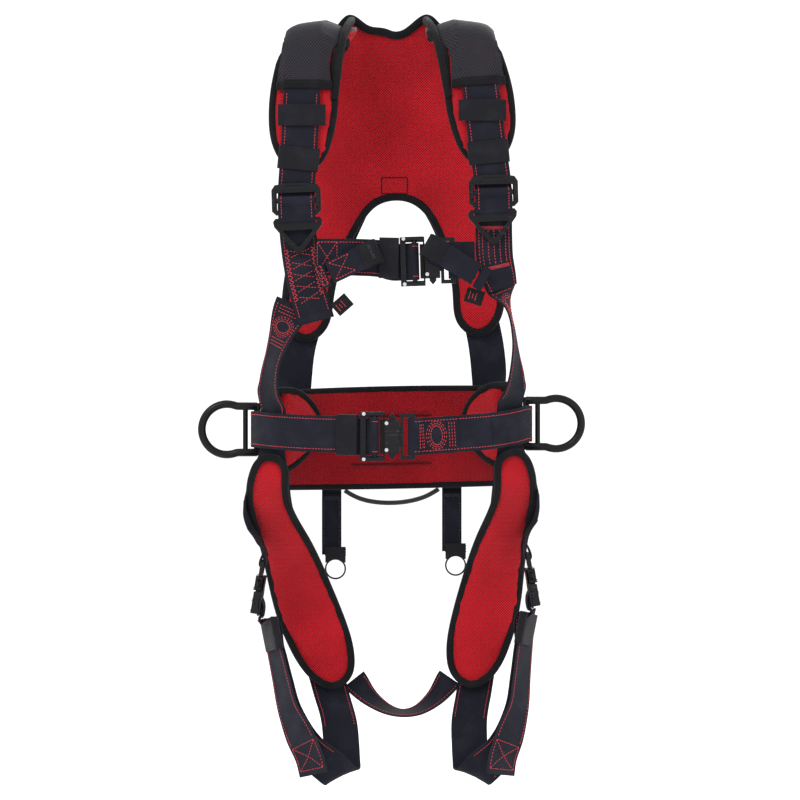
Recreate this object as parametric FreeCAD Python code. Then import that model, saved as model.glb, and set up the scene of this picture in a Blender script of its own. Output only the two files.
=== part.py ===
"""Full-body safety harness with back pad, waist belt, leg loops and rings, as separate solids.

Frame: +Z up, -Y towards the wearer's front, +X to the right of someone facing the wearer.
The origin is midway between the two shoulder crests. Left means -X and right means +X.
"""
import FreeCAD
import Part
import math
import os

from FreeCAD import Vector

# ---------------------------------------------------------------- driving dimensions (mm)
WEBBING = 45.0            # width of the load-bearing webbing
WEBBING_T = 2.4           # its thickness
TOOL_WEBBING = 25.0       # width of the two tool straps
PAD_T = 12.0              # thickness of the sewn pads
BELT_Z = -507.0           # middle of the waist belt at the sides
BELT_FRONT_Z = -513.0     # middle of the waist belt at the buckle
BELT_A = 175.0            # half width of the belt loop
BELT_B = 108.0            # half depth of the belt loop
WAIST_Y = 4.0             # centre of the belt loop, front to back
WAIST_PAD_A = 153.0       # half width and half depth of the waist pad's middle surface
WAIST_PAD_B = 97.0
WAIST_PAD_H = 130.0
RING_ROD = 10.0           # rod of the side and back rings
RING_R = 31.5             # middle radius of a ring's eye
RING_NECK = 29.0          # half distance between a ring's two legs
RING_REACH = 37.5         # from a ring's pivot bar to the middle of its eye
RING_CROSS = 14.5         # from a ring's pivot bar to its cross bar
BUCKLE_H = 60.0           # height of a buckle, across the webbing
BUCKLE_L = 48.0           # length of a buckle body, along the webbing
HOUSING_L = 18.0          # length of the locking housing at the buckle's mouth
TONGUE_L = 15.0           # visible length of the tongue
SLIDE_BAR_R = 3.0
TOOL_HOLE_R = 11.6        # hole of a tool strap's ring

SIDES = {"left": -1, "right": 1}

# How the worn harness hangs: a sideways drift and a slight roll, both by height.
SWAY = [(25, -4), (-240, 5), (-400, 0), (-600, 0), (-945, 20)]
ROLL = [(25, 0.0), (-80, 0.02), (-240, 0.045), (-400, 0.03), (-505, 0.02), (-700, 0.03), (-900, 0.0)]


# ---------------------------------------------------------------- small helpers
def between(table, z):
    """Value at height z in a table of (height, value), highest first."""
    if z >= table[0][0]:
        return table[0][1]
    for (z1, v1), (z2, v2) in zip(table, table[1:]):
        if z >= z2:
            return v1 + (v2 - v1) * (z1 - z) / (z1 - z2)
    return table[-1][1]


def hang(x, z):
    """Where a point of the symmetric design hangs: (x, z)."""
    return x + between(SWAY, z), z + between(ROLL, z) * x


def hung(point):
    """hang() for a 3-D point."""
    x, z = hang(point[0], point[2])
    return Vector(x, point[1], z)


def unit(v):
    v = Vector(v)
    v.normalize()
    return v


def polygon_face(points):
    """Flat face inside a closed polygon."""
    return Part.Face(Part.makePolygon(points + [points[0]]))


def smooth_face(points):
    """Face inside a smooth closed curve through points."""
    curve = Part.BSplineCurve()
    curve.interpolate(points, PeriodicFlag=True)
    return Part.Face(Part.Wire([curve.toShape()]))


def box(x, y, z):
    """Box from three (low, high) pairs."""
    return Part.makeBox(x[1] - x[0], y[1] - y[0], z[1] - z[0], Vector(x[0], y[0], z[0]))


def rod(start, end, radius):
    start, end = Vector(start), Vector(end)
    return Part.makeCylinder(radius, (end - start).Length, start, end - start)


def placed(shape, origin, along, up):
    """Moves a shape from its local axes (X along, Y up, Z outwards) to the harness."""
    along, up = unit(along), Vector(up)
    up = unit(up - along * along.dot(up))
    out = along.cross(up)
    o = Vector(origin)
    m = FreeCAD.Matrix(along.x, up.x, out.x, o.x, along.y, up.y, out.y, o.y,
                       along.z, up.z, out.z, o.z, 0, 0, 0, 1)
    moved = shape.copy()
    moved.transformShape(m)
    return moved


def ribbon(stations, width, thickness):
    """Flat strap through stations, each (centre, direction across the strap)."""
    centres = [Vector(c) for c, _ in stations]
    sections = []
    for i, (_, across) in enumerate(stations):
        ahead = centres[min(i + 1, len(centres) - 1)]
        behind = centres[max(i - 1, 0)]
        tangent = unit(ahead - behind)
        across = Vector(across)
        across = unit(across - tangent * across.dot(tangent))
        a = across * (width / 2)
        n = tangent.cross(across) * (thickness / 2)
        sections.append([centres[i] + a + n, centres[i] - a + n, centres[i] - a - n, centres[i] + a - n])
    faces = [polygon_face(sections[0][::-1]), polygon_face(sections[-1])]
    for low, high in zip(sections, sections[1:]):
        for k in range(4):
            a, b, c, d = low[k], low[(k + 1) % 4], high[(k + 1) % 4], high[k]
            halves = ([a, b, c], [a, c, d]) if k < 2 else ([a, b, d], [b, c, d])  # both flat sides fold alike
            faces += [polygon_face(half) for half in halves]
    return Part.Solid(Part.Shell(faces))


def band(profile, thickness, x_low, x_high, drop=0.0):
    """Curved slab: a (y, z) middle line given a thickness and drawn out along X.

    drop is how far the slab falls for each millimetre away from X = 0.
    """
    points = [Vector(0, y, z) for y, z in profile]
    sides = []
    for side in (0.5, -0.5):
        offset = []
        for i, p in enumerate(points):
            t = unit(points[min(i + 1, len(points) - 1)] - points[max(i - 1, 0)])
            offset.append(p + Vector(0, -t.z, t.y) * (thickness * side))
        curve = Part.BSplineCurve()
        curve.interpolate(offset)
        sides.append((curve.toShape(), offset))
    (one, one_points), (two, two_points) = sides
    ends = [Part.makeLine(one_points[-1], two_points[-1]), Part.makeLine(two_points[0], one_points[0])]
    wire = Part.Wire(Part.__sortEdges__([one, ends[0], two, ends[1]]))
    face = Part.Face(wire)
    outward = 1 if x_high > 0 else -1
    near, far = (x_low, x_high) if outward > 0 else (x_high, x_low)
    face.translate(Vector(near, 0, -drop * abs(near)))
    return face.extrude(Vector(far - near, 0, -drop * abs(far - near)))


def outline_prism(points, y_low, y_high, smooth=True):
    """Everything behind and in front of an (x, z) outline, between two depths."""
    corners = [Vector(x, y_low, z) for x, z in points]
    face = smooth_face(corners) if smooth else polygon_face(corners)
    return face.extrude(Vector(0, y_high - y_low, 0))


def solid_of(shape):
    """The one solid in a result."""
    solids = sorted(shape.Solids, key=lambda s: -s.Volume)
    return solids[0]


# ---------------------------------------------------------------- pads
BACK_PROFILE = [(40, 26), (50, 4), (70, -36), (87, -90), (95, -160), (97, -230), (92, -310), (84, -400)]
BACK_HALF = [(26, 2), (50, 16), (63, 5), (78, -9), (108, -16), (127, -36), (131, -66), (128, -112), (125, -189),
             (133, -266), (141, -342), (135, -374), (110, -391), (85, -375), (78, -342), (72, -306),
             (56, -263), (44, -240), (24, -219)]
ARM_PROFILE = [(44, -14), (20, -3), (-12, -2), (-42, -13), (-68, -42), (-84, -95), (-90, -150), (-92, -200)]
ARM_OUTLINE = [(40, 30), (110, 30), (126, -5), (138, -48), (147, -88), (150, -122), (142, -165),
               (116, -188), (90, -178), (76, -152), (66, -90), (56, -30)]
ARM_DROP = 0.12
LEG_PROFILE = [(-60, -530), (-53, -560), (-30, -594), (0, -634), (29, -677), (47, -720), (53, -760), (48, -800),
               (36, -842)]
LEG_OUTLINE = [(142, -536), (162, -537), (176, -562), (178, -600), (169, -640), (161, -690), (153, -738),
               (137, -785), (112, -822), (86, -833), (64, -818), (59, -795), (67, -750), (85, -695),
               (107, -638), (128, -578)]
HIP_OUTLINE = [(146, -452), (126, -452), (104, -466), (91, -490), (91, -512), (106, -536), (130, -556),
               (146, -560)]
HIP_NEAR = (140.0, -1.0)      # the hip pad's plane in plan, outer end
HIP_FAR = (88.0, 56.0)        # and inner end


def back_pad():
    half = [hang(x, z) for x, z in BACK_HALF]
    other = [hang(-x, z) for x, z in reversed(BACK_HALF)]
    outline = [hang(0, -3)] + half + [hang(0, -213)] + other
    return solid_of(band(BACK_PROFILE, PAD_T, -170, 170).common(outline_prism(outline, 10, 130)))


def shoulder_pad(side):
    outline = [hang(side * x, z) for x, z in ARM_OUTLINE]
    slab = band(ARM_PROFILE, PAD_T, *sorted((side * 40, side * 170)), drop=ARM_DROP)
    slab.translate(Vector(0, 0, side * 0.6 - 1.8))
    return solid_of(slab.common(outline_prism(outline, -130, 60)))


def shoulder_cover(side):
    """Mesh sleeve over the strap where it crosses the shoulder."""
    path = [(108, -104, -84), (107, -96, -54), (105, -76, -27), (103, -44, -7), (101, -8, -2.5), (100, 20, -1.5)]
    stations = [(hung((side * x, y, z)), (1, 0, -0.12 * side)) for x, y, z in path]
    return ribbon(stations, 58.0, 1.6)


def waist_ring(a, b, start, end, count, z_of):
    """Stations round the waist from one angle to another; 0 is right, 90 is the back."""
    stations = []
    for i in range(count):
        t = math.radians(start + (end - start) * i / (count - 1))
        stations.append(((a * math.cos(t), WAIST_Y + b * math.sin(t), z_of(t)), (0, 0, 1)))
    return stations


def waist_pad():
    z_of = lambda t: -518.0 + between(ROLL, -505) * WAIST_PAD_A * math.cos(t)
    return ribbon(waist_ring(WAIST_PAD_A, WAIST_PAD_B, -4, 184, 23, z_of), WAIST_PAD_H, PAD_T)


def hip_pad(side):
    near = Vector(side * HIP_NEAR[0], HIP_NEAR[1], 0)
    far = Vector(side * HIP_FAR[0], HIP_FAR[1], 0)
    slab = ribbon([(near + Vector(0, 0, -506), (0, 0, 1)), (far + Vector(0, 0, -506), (0, 0, 1))], 130, 10.0)
    outline = [hang(side * x, z) for x, z in HIP_OUTLINE]
    return solid_of(slab.common(outline_prism(outline, -40, 120)))


def leg_pad(side):
    outline = [hang(side * x, z) for x, z in LEG_OUTLINE]
    slab = band(LEG_PROFILE, PAD_T, *sorted((side * 20, side * 200)))
    slab.translate(Vector(0, -2.0, side * 2.0))
    return solid_of(slab.common(outline_prism(outline, -60, 100)))


# ---------------------------------------------------------------- webbing
def shoulder_strap(side):
    """From the adjuster up the front, over the shoulder and down to the plate on the back."""
    path = [((119, -103.3, -203), (1, 0, 0)), ((115, -102.6, -165), (1, 0, 0)),
            ((110, -97.5, -105), (1, 0, 0)), ((107, -88, -60), (1, 0, 0)),
            ((105, -68, -31), (1, 0, -0.12)), ((103, -38, -13), (1, 0, -0.12)),
            ((101, -6, -6.6), (1, 0, -0.12)), ((99, 26, -5), (1, 0, -0.12)), ((97, 48, -4), (1, 0, -0.12)),
            ((95, 67, -7), (1, 0.05, -0.15)), ((92, 81, -25), (1, 0, -0.05)), ((86, 91.5, -56), (1, 0, 0.1)),
            ((74, 99.5, -98), (1, 0, 0.35)), ((52, 105, -130), (1, 0, 0.6))]
    stations = [(hung((side * x, y, z)), (a, b * side, c * side)) for (x, y, z), (a, b, c) in path]
    return ribbon(stations, WEBBING, WEBBING_T)


FRONT_LEFT = [((-115, -99, -243), (1, 0, 0)), ((-113, -98.5, -275), (1, 0, -0.1)),
              ((-106, -98, -321), (1, 0, -0.2)), ((-92, -97, -372), (1, 0, -0.25))]
FRONT_RIGHT = [((125, -99, -232), (1, 0, 0)), ((125, -98.5, -270), (1, 0, 0.05)),
               ((127, -98, -302), (1, 0.1, -0.2)), ((136, -96, -334), (0.8, 0.5, -0.35))]
LEG_TOP = {
    "left": [((-119, -89.5, -352), (0.86, 0.05, -0.5)), ((-136, -87.5, -392), (0.6, -0.75, -0.25)),
             ((-147, -82, -428), (0.45, -0.88, 0)), ((-150, -66, -458), (0.5, -0.86, 0)),
             ((-146.5, -48, -481), (0.69, -0.72, 0)), ((-146, -45, -509), (0.69, -0.72, 0))],
    "right": [((131.4, -93.6, -322), (0.88, 0.35, -0.29)), ((134.6, -92.8, -334), (0.8, 0.5, -0.35)),
              ((142, -91, -354), (0.25, 0.93, -0.2)), ((150, -86, -392), (0.12, 0.99, 0)),
              ((152, -78, -428), (0.3, 0.95, 0)), ((151, -64, -454), (0.5, 0.86, 0)),
              ((146.5, -48, -474), (0.69, 0.72, 0)), ((146, -45, -502), (0.69, 0.72, 0))],
}
LEG_DOWN = [((147, -40, -536), (0.75, 0.66, 0)), ((149, -34, -560), (1, 0.05, 0)), ((147, -14, -592), (1, 0, 0)),
            ((141, 14, -634), (1, 0, 0.1)), ((132, 42, -679), (1, 0, 0.2)), ((122, 58.5, -722), (1, 0, 0.25)),
            ((111, 64, -761), (1, 0, 0.3)), ((99, 59, -802), (1, 0, 0.3)), ((90, 44, -840), (1, 0, 0.25)),
            ((82, 20, -872), (1, 0, 0.15)), ((80, -5, -902), (1, 0, -0.15))]
LEG_UP = [((103, -43, -917), (0.85, 0.1, -0.55)), ((116, -46, -904), (0.9, 0.35, -0.4)),
          ((128, -45, -884), (0.8, 0.6, -0.3)), ((139, -40, -852), (0.6, 0.8, -0.2)),
          ((146, -37, -812), (0.5, 0.86, -0.15)), ((152, -34, -776), (0.45, 0.9, -0.1)),
          ((160, -30, -738), (0.35, 0.93, -0.1))]
LEG_TAIL = [((161.5, -35, -748), (0.35, 0.93, -0.1)), ((155.2, -36, -776), (0.45, 0.9, -0.1)),
            ((149.2, -39, -812), (0.5, 0.86, -0.15)), ((142.2, -42.6, -852), (0.6, 0.8, -0.2)),
            ((129, -51.5, -886), (0.8, 0.6, -0.25)), ((119, -54.5, -912), (0.78, 0.6, -0.2)),
            ((115, -56, -932), (0.78, 0.6, -0.2))]
FOLD_CENTRE = Vector(85, -27, -926)     # middle of the roll at the bottom of the leg loop
FOLD_LINE = Vector(0.908, 0, -0.419)    # direction of the roll
FOLD_R = 10.5
FOLD_SLANT = 0.35                       # drift along the roll for each millimetre round it


def leg_fold():
    """Stations where the webbing rolls round the slanted bottom of the leg loop."""
    down = Vector(FOLD_LINE.z, 0, -FOLD_LINE.x)
    stations = []
    for step in range(5):
        t = math.pi * step / 4
        radial = Vector(0, math.cos(t), 0) + down * math.sin(t)
        around = Vector(0, -math.sin(t), 0) + down * math.cos(t)
        drift = FOLD_LINE * (FOLD_SLANT * FOLD_R * (t - math.pi / 2))
        stations.append((tuple(FOLD_CENTRE + radial * FOLD_R + drift), tuple(FOLD_LINE - around * FOLD_SLANT)))
    return stations


def front_strap(name):
    stations = FRONT_LEFT if name == "left" else FRONT_RIGHT
    return ribbon(stations, WEBBING, WEBBING_T)


def leg_strap(name):
    """From the chest behind the belt and the leg pad, round the leg to its buckle, and the free tail."""
    side = SIDES[name]

    def sided(path):
        return [(hung((side * x, y, z)), (a, b * side, c * side)) for (x, y, z), (a, b, c) in path]

    strap = ribbon(LEG_TOP[name] + sided(LEG_DOWN + leg_fold() + LEG_UP), WEBBING, WEBBING_T)
    return Part.makeCompound([strap, ribbon(sided(LEG_TAIL), WEBBING, WEBBING_T)])


def back_strap(side):
    """From the plate on the back down over the lobe to the waist pad."""
    path = [((34, 106.5, -172), (1, 0, -0.5)), ((50, 107, -208), (1, 0, -0.45)), ((66, 106, -240), (1, 0, -0.4)),
            ((92, 103.5, -300), (1, 0, -0.3)), ((110, 97, -360), (1, 0, -0.15)), ((120, 91, -400), (1, 0, -0.1)),
            ((124, 84.5, -438), (0.97, -0.2, 0)), ((124, 79, -457), (0.9, -0.43, 0)),
            ((123.2, 75.4, -473), (0.85, -0.53, 0)), ((122.6, 74.9, -488), (0.85, -0.53, 0))]
    stations = [(hung((side * x, y, z)), (a, b * side, c * side)) for (x, y, z), (a, b, c) in path]
    return ribbon(stations, WEBBING, WEBBING_T)


def belt_height(t):
    """The belt is level beside the side rings and dips towards the buckle."""
    x = BELT_A * math.cos(t)
    side_z = BELT_Z + 4 + between(ROLL, -505) * x
    if math.sin(t) >= -0.3:
        return side_z
    blend = (-0.3 - math.sin(t)) / 0.7
    return side_z + (BELT_FRONT_Z - side_z) * blend


def waist_belt():
    """One webbing from the buckle's bar, round the back, to the tongue's loop."""
    first = -math.degrees(math.acos(84 / BELT_A))
    last = 180 + math.degrees(math.acos(41 / BELT_A))
    return ribbon(waist_ring(BELT_A, BELT_B, first, last, 41, belt_height), WEBBING, WEBBING_T)


def waist_belt_end():
    """Folded end of the belt between the sewn overlap and the tongue's bar."""
    last = -math.degrees(math.acos(82.5 / BELT_A))
    first = -math.degrees(math.acos(30.5 / BELT_A))
    return ribbon(waist_ring(BELT_A, BELT_B, first, last, 5, belt_height), WEBBING, 2 * WEBBING_T)


def chest_strap(name):
    if name == "left":
        ends = [((-92, -101.5, -296), (0, 0, 1)), ((-40, -104, -296), (0, 0, 1)), ((9, -104, -297.5), (0, 0, 1))]
    else:
        ends = [((79.5, -104, -294), (0, 0, 1)), ((101, -101.8, -291), (0, 0, 1))]
    return ribbon(ends, WEBBING, WEBBING_T)


def seat_strap():
    """Sling under the seat between the two leg pads."""
    path = [((-48, 60, -824), (0.5, 0.2, 1)), ((-30, 55, -845), (0.5, 0.9, 0.6)), ((-6, 50, -861), (0.2, 1, 0.3)),
            ((14, 49, -866), (0, 1, 0.2)), ((34, 50, -862), (-0.2, 1, 0.3)), ((56, 55, -846), (-0.5, 0.9, 0.6)),
            ((74, 60, -822), (-0.5, 0.2, 1))]
    return ribbon(path, 32.0, WEBBING_T)


def sternal_loop(name):
    """Sewn webbing loop that hangs from the front strap; an eye runs through it."""
    if name == "left":
        root, tip, up = Vector(-76, -112.5, -316), Vector(-20, -119, -290), (0.4, 0, 0.9)
    else:
        root, tip, up = Vector(104, -118, -318), Vector(46, -126, -284), (-0.45, 0, 0.9)
    length = (tip - root).Length
    outer = box((0, length), (-14, 14), (-6, 6)).fuse(rod((length, -14, 0), (length, 14, 0), 6.0))
    inner = box((4, length - 1), (-15, 15), (-3.4, 3.4)).fuse(rod((length - 1, -15, 0), (length - 1, 15, 0), 3.4))
    return solid_of(placed(outer.cut(inner).removeSplitter(), root, tip - root, up))


def tool_strap(side):
    x, z = hang(side * 77, -588)
    low = hang(side * 77, -655)[1]
    return box((x - TOOL_WEBBING / 2, x + TOOL_WEBBING / 2), (101.5, 103.5), (low, z))


def tool_ring(side):
    """Moulded end fitting: a ribbed block with a round ring below it."""
    x, z = hang(side * 77, -684)
    y_low, y_high = 99.0, 106.0
    ring = rod((x, y_low + 1, z), (x, y_high - 1, z), TOOL_HOLE_R + 2.0)
    block = box((x - 13, x + 13), (y_low, y_high), (z + 8, z + 28))
    for rib in range(3):
        low = z + 17 + rib * 3.5
        block = block.fuse(box((x - 13.6, x + 13.6), (y_low - 0.6, y_high + 0.6), (low, low + 1.6)))
    pocket = box((x - 12.8, x + 12.8), (101.2, 103.8), (z + 16, z + 40))
    hole = rod((x, y_low - 5, z), (x, y_high + 5, z), TOOL_HOLE_R)
    return solid_of(ring.fuse(block).cut(pocket).cut(hole))


GEAR_ROUTE = [(-60, 101, -586), (-50, 103, -593), (-30, 104, -600), (-3, 104, -602.5), (24, 104, -600),
              (48, 103, -592.5), (60, 101, -584)]
GEAR_D = 6.0


def cord_tube(points, diameter):
    """Round tube along straight runs joined by the largest arcs that the runs allow."""
    pts = [Vector(p) for p in points]
    edges = []
    at = pts[0]
    for before, corner, after in zip(pts, pts[1:], pts[2:]):
        run_in, run_out = corner - before, after - corner
        turn = run_in.getAngle(run_out)
        back = 0.45 * min(run_in.Length, run_out.Length)
        radius = back / math.tan(turn / 2)
        print("bend radius %.0f mm" % radius)
        start = corner - unit(run_in) * back
        end = corner + unit(run_out) * back
        inward = unit(unit(run_out) - unit(run_in))
        middle = corner + inward * (math.hypot(back, radius) - radius)
        edges += [Part.makeLine(at, start), Part.Arc(start, middle, end).toShape()]
        at = end
    edges.append(Part.makeLine(at, pts[-1]))
    path = Part.Wire(edges)
    circle = Part.Wire(Part.makeCircle(diameter / 2, pts[0], pts[1] - pts[0]))
    tube = path.makePipeShell([circle], True, False)
    print("cord length %.1f mm, volume ratio %.3f"
          % (path.Length, tube.Volume / (path.Length * math.pi * diameter ** 2 / 4)))
    return tube


# ---------------------------------------------------------------- keepers and tags
def keeper(centre, width, length, gap, wall, strap, across):
    """Elastic loop round a strap that runs through it along the direction strap."""
    half, depth = width / 2 + wall, gap / 2 + wall
    outer = box((-length / 2, length / 2), (-half, half), (-depth, depth))
    inner = box((-length, length), (-width / 2, width / 2), (-gap / 2, gap / 2))
    return placed(outer.cut(inner), centre, strap, across)


def elastic_keepers():
    loops = []
    for side in SIDES.values():
        x, z = hang(side * 115.5, -172)
        loops.append(keeper((x, -102.7, z), 48, 28, 4.2, 1.2, (0.1 * side, -0.02, -1), (1, 0, 0)))
        x, z = hang(side * 110, -120)
        loops.append(box((x - 29, x + 29), (-106, -104.6), (z - 13, z + 13)))
    loops.append(keeper((-3, -104.1, -297), 48, 24, 4.5, 1.4, (1, 0, -0.02), (0, 0, 1)))
    t = 180 + math.degrees(math.acos(54 / BELT_A))
    centre = Vector(BELT_A * math.cos(math.radians(t)), WAIST_Y + BELT_B * math.sin(math.radians(t)),
                    belt_height(math.radians(t)))
    slope = Vector(1, -0.2, -0.02)
    loops.append(keeper(centre, 47.5, 26, 5.5, 1.4, slope, (0, 0, 1)))
    for name, side in SIDES.items():
        x, z = hang(side * 157.5, -757)
        loops.append(keeper((x, -34, z), 50, 28, 14.0, 1.6, (0.2 * side, 0.1, 1), (0.35 * side, 0.93, 0)))
    return Part.makeCompound(loops)


def tags():
    """Two small folded textile tags sewn beside the sternal loops."""
    plate = box((-11, 11), (-9, 9), (-0.8, 0.8))
    left = placed(plate, (-60, -104, -354), (0.75, 0, 0.66), (-0.66, 0, 0.75))
    right = placed(plate, (101, -104.4, -344), (0.95, 0, -0.3), (0.3, 0, 0.95))
    return Part.makeCompound([left, right])


# ---------------------------------------------------------------- metal hardware
def adjuster_frame(side):
    """Plate with an arched top bar, a strap window and two ears that hold the sliding bar."""
    arch = [Vector(-30, 12, 0), Vector(-26, 18, 0), Vector(-13, 20, 0), Vector(13, 20, 0), Vector(26, 18, 0),
            Vector(30, 12, 0), Vector(30, -14, 0), Vector(25, -19, 0), Vector(-25, -19, 0), Vector(-30, -14, 0)]
    plate = polygon_face(arch).extrude(Vector(0, 0, 3.2))
    plate = plate.cut(box((-23.5, 23.5), (-13, 8), (-1, 5)))
    recess = polygon_face([Vector(-17, 11, 2), Vector(17, 11, 2), Vector(12, 17, 2), Vector(-12, 17, 2)])
    plate = plate.cut(recess.extrude(Vector(0, 0, 3)))
    for end in (-1, 1):
        ear = box(sorted((end * 24.4, end * 27.6)), (-9, 9), (0, 12))
        slot = rod((end * 20, -1.8, 7.6), (end * 32, -1.8, 7.6), SLIDE_BAR_R + 0.3)
        slot = slot.fuse(rod((end * 20, 1.8, 7.6), (end * 32, 1.8, 7.6), SLIDE_BAR_R + 0.3))
        slot = slot.fuse(box(sorted((end * 20, end * 32)), (-1.8, 1.8), (4.3, 10.9)))
        plate = plate.fuse(ear).cut(slot)
    return solid_of(at_adjuster(plate.removeSplitter(), side))


def adjuster_bar(side):
    return at_adjuster(rod((-29, -1.8, 7.6), (29, -1.8, 7.6), SLIDE_BAR_R), side)


def at_adjuster(shape, side):
    x, z = hang(side * 120, -221)
    return placed(shape, (x, -105, z), (1, 0, 0.03), (-0.03, 0, 1))


def triangle_ring(side):
    """Plate ring with a slotted top bar and a rounded point below."""
    outer = [Vector(-27, 7, 0), Vector(27, 7, 0), Vector(30, 3, 0), Vector(29, -3, 0), Vector(5, -34, 0),
             Vector(0, -37, 0), Vector(-5, -34, 0), Vector(-29, -3, 0), Vector(-30, 3, 0)]
    inner = [Vector(-19, -8, -1), Vector(19, -8, -1), Vector(2, -27.5, -1), Vector(-2, -27.5, -1)]
    plate = polygon_face(outer).extrude(Vector(0, 0, 5.0))
    plate = plate.cut(polygon_face(inner).extrude(Vector(0, 0, 8)))
    plate = plate.cut(box((-23.2, 23.2), (0.5, 4.0), (-1, 8)))
    x, z = hang(side * 118.5, -250)
    return solid_of(placed(plate, (x, -103, z), (1, 0, 0.05), (-0.16, 0, 1)))


def ring_path(reach, neck, radius):
    """D shape in the local plane: two legs, two reverse curves and the round eye."""
    blend = 15.0
    run = math.sqrt((radius + blend) ** 2 - (neck + blend) ** 2)
    leg_end = Vector(reach - run, neck, 0)
    centre = leg_end + Vector(0, blend, 0)
    touch = Vector(reach, 0, 0) + (centre - Vector(reach, 0, 0)) * (radius / (radius + blend))
    swing = (math.atan2(touch.y - centre.y, touch.x - centre.x) - math.pi / 2) / 2
    middle = centre + Vector(math.cos(swing), math.sin(swing), 0) * blend

    def mirrored(v):
        return Vector(v.x, -v.y, 0)

    return [Part.makeLine(Vector(0, neck, 0), leg_end),
            Part.Arc(leg_end, middle, touch).toShape(),
            Part.Arc(touch, Vector(reach + radius, 0, 0), mirrored(touch)).toShape(),
            Part.Arc(mirrored(touch), mirrored(middle), mirrored(leg_end)).toShape(),
            Part.makeLine(mirrored(leg_end), Vector(0, -neck, 0))]


def d_ring():
    """Ring with a pivot bar at the local origin, along local Y, and a cross bar beside it."""
    path = Part.Wire(ring_path(RING_REACH, RING_NECK, RING_R))
    section = Part.Wire(Part.makeCircle(RING_ROD / 2, Vector(0, RING_NECK, 0), Vector(1, 0, 0)))
    eye = path.makePipeShell([section], True, False)
    pivot = rod((0, -RING_NECK - 4, 0), (0, RING_NECK + 4, 0), 4.0)
    cross = rod((RING_CROSS, -RING_NECK, 0), (RING_CROSS, RING_NECK, 0), 3.2)
    return eye.fuse(pivot).fuse(cross).removeSplitter()


def side_ring(side):
    z = hang(side * 181, BELT_Z + 4)[1]
    return solid_of(placed(d_ring(), (side * 168.3, WAIST_Y, z), (side, 0, 0), (0, 0, 1)))


DORSAL_PIVOT = Vector(3, 121, -135)
PLATE_LOW, PLATE_HIGH = -169, -101     # the plate on the back, bottom and top


def dorsal_ring():
    return solid_of(placed(d_ring(), DORSAL_PIVOT, (0, 0.05, -1), (1, 0, 0)))


def dorsal_plate():
    """Plate on the back where the straps cross, with four strap slots and two pivot lugs."""
    plate = box((-42, 48), (109, 112.5), (PLATE_LOW, PLATE_HIGH))
    for x in (-24, 30):
        for z in (PLATE_LOW + 14, PLATE_HIGH - 14):
            plate = plate.cut(box((x - 14, x + 14), (100, 120), (z - 2, z + 2)))
    bore = rod((-60, DORSAL_PIVOT.y, DORSAL_PIVOT.z), (60, DORSAL_PIVOT.y, DORSAL_PIVOT.z), 4.08)
    for x in (-14, 20):
        plate = plate.fuse(box((x - 3, x + 3), (112.5, 127), (DORSAL_PIVOT.z - 7, DORSAL_PIVOT.z + 7)))
    return solid_of(plate.cut(bore).removeSplitter())


# ---------------------------------------------------------------- buckles
def buckle_body():
    """Base plate with a strap window, cheeks for the slide bar and the locking housing."""
    h = BUCKLE_H / 2
    base = box((-BUCKLE_L, -HOUSING_L), (-h, h), (0, 2.6)).fuse(box((-HOUSING_L, 0), (-21, 21), (0, 2.6)))
    base = base.cut(box((-41, -20), (-23.6, 23.6), (-1, 4)))
    for end in (-1, 1):
        cheek = box((-46, -19), sorted((end * 25.6, end * h)), (2.6, 11.0))
        hole = rod((-30.5, end * 20, 6.4), (-30.5, end * 32, 6.4), SLIDE_BAR_R + 0.3)
        base = base.fuse(cheek).cut(hole)
    housing = box((-HOUSING_L, 0), (-20, 20), (2.6, 12.0))
    housing = housing.cut(box((-15, 1), (-13.2, 13.2), (4.6, 9.4)))
    housing = housing.cut(box((-13.4, -4.6), (-22, 22), (4.6, 9.4)))
    return solid_of(base.fuse(housing).removeSplitter())


def buckle_tongue():
    """Blade in the housing, and the C-shaped plate with the bar that the webbing loops round."""
    blade = box((-13.5, 2), (-12.6, 12.6), (5.0, 9.0))
    plate = box((1.0, TONGUE_L + 4), (-28, 28), (4.6, 9.0))
    plate = plate.cut(box((5.0, 12.5), (-23.4, 23.4), (0, 12)))
    return solid_of(blade.fuse(plate).removeSplitter())


def buckle_tab(end):
    """Pointed release tab that slides into the housing."""
    points = [Vector(-13.1, 17, 5), Vector(-4.9, 17, 5), Vector(-4.9, 24, 5), Vector(-9, 29, 5),
              Vector(-13.1, 24, 5)]
    tab = polygon_face(points).extrude(Vector(0, 0, 4.0))
    return tab if end > 0 else tab.mirror(Vector(0, 0, 0), Vector(0, 1, 0))


def buckle_rivets():
    heads = [rod((-15.8, end * 16.3, 12.0), (-15.8, end * 16.3, 13.4), 2.2) for end in (-1, 1)]
    heads += [rod((-43.5, end * 27.6, 11.0), (-43.5, end * 27.6, 12.4), 2.2) for end in (-1, 1)]
    return heads


def slide_bar():
    return rod((-30.5, -29.5, 6.4), (-30.5, 29.5, 6.4), SLIDE_BAR_R)


# Each buckle: mouth of the housing, direction towards the tongue, direction across the webbing.
LEG_MOUTH = {name: hung((side * 160, -32, -684)) for name, side in SIDES.items()}
BUCKLES = {
    "chest": (Vector(59, -101, -300.5), Vector(1, 0, 0.03), Vector(-0.05, 0, 1)),
    "waist": (Vector(10, -98.5, -514.5), Vector(1, 0, 0), Vector(0, 0, 1)),
    "leg_left": (LEG_MOUTH["left"], Vector(0.17, 0, 0.985), Vector(0, 1, 0)),
    "leg_right": (LEG_MOUTH["right"], Vector(-0.17, 0, 0.985), Vector(0, -1, 0)),
}


def in_buckle(shape, name):
    origin, along, up = BUCKLES[name]
    return placed(shape, origin, along, up)


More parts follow.
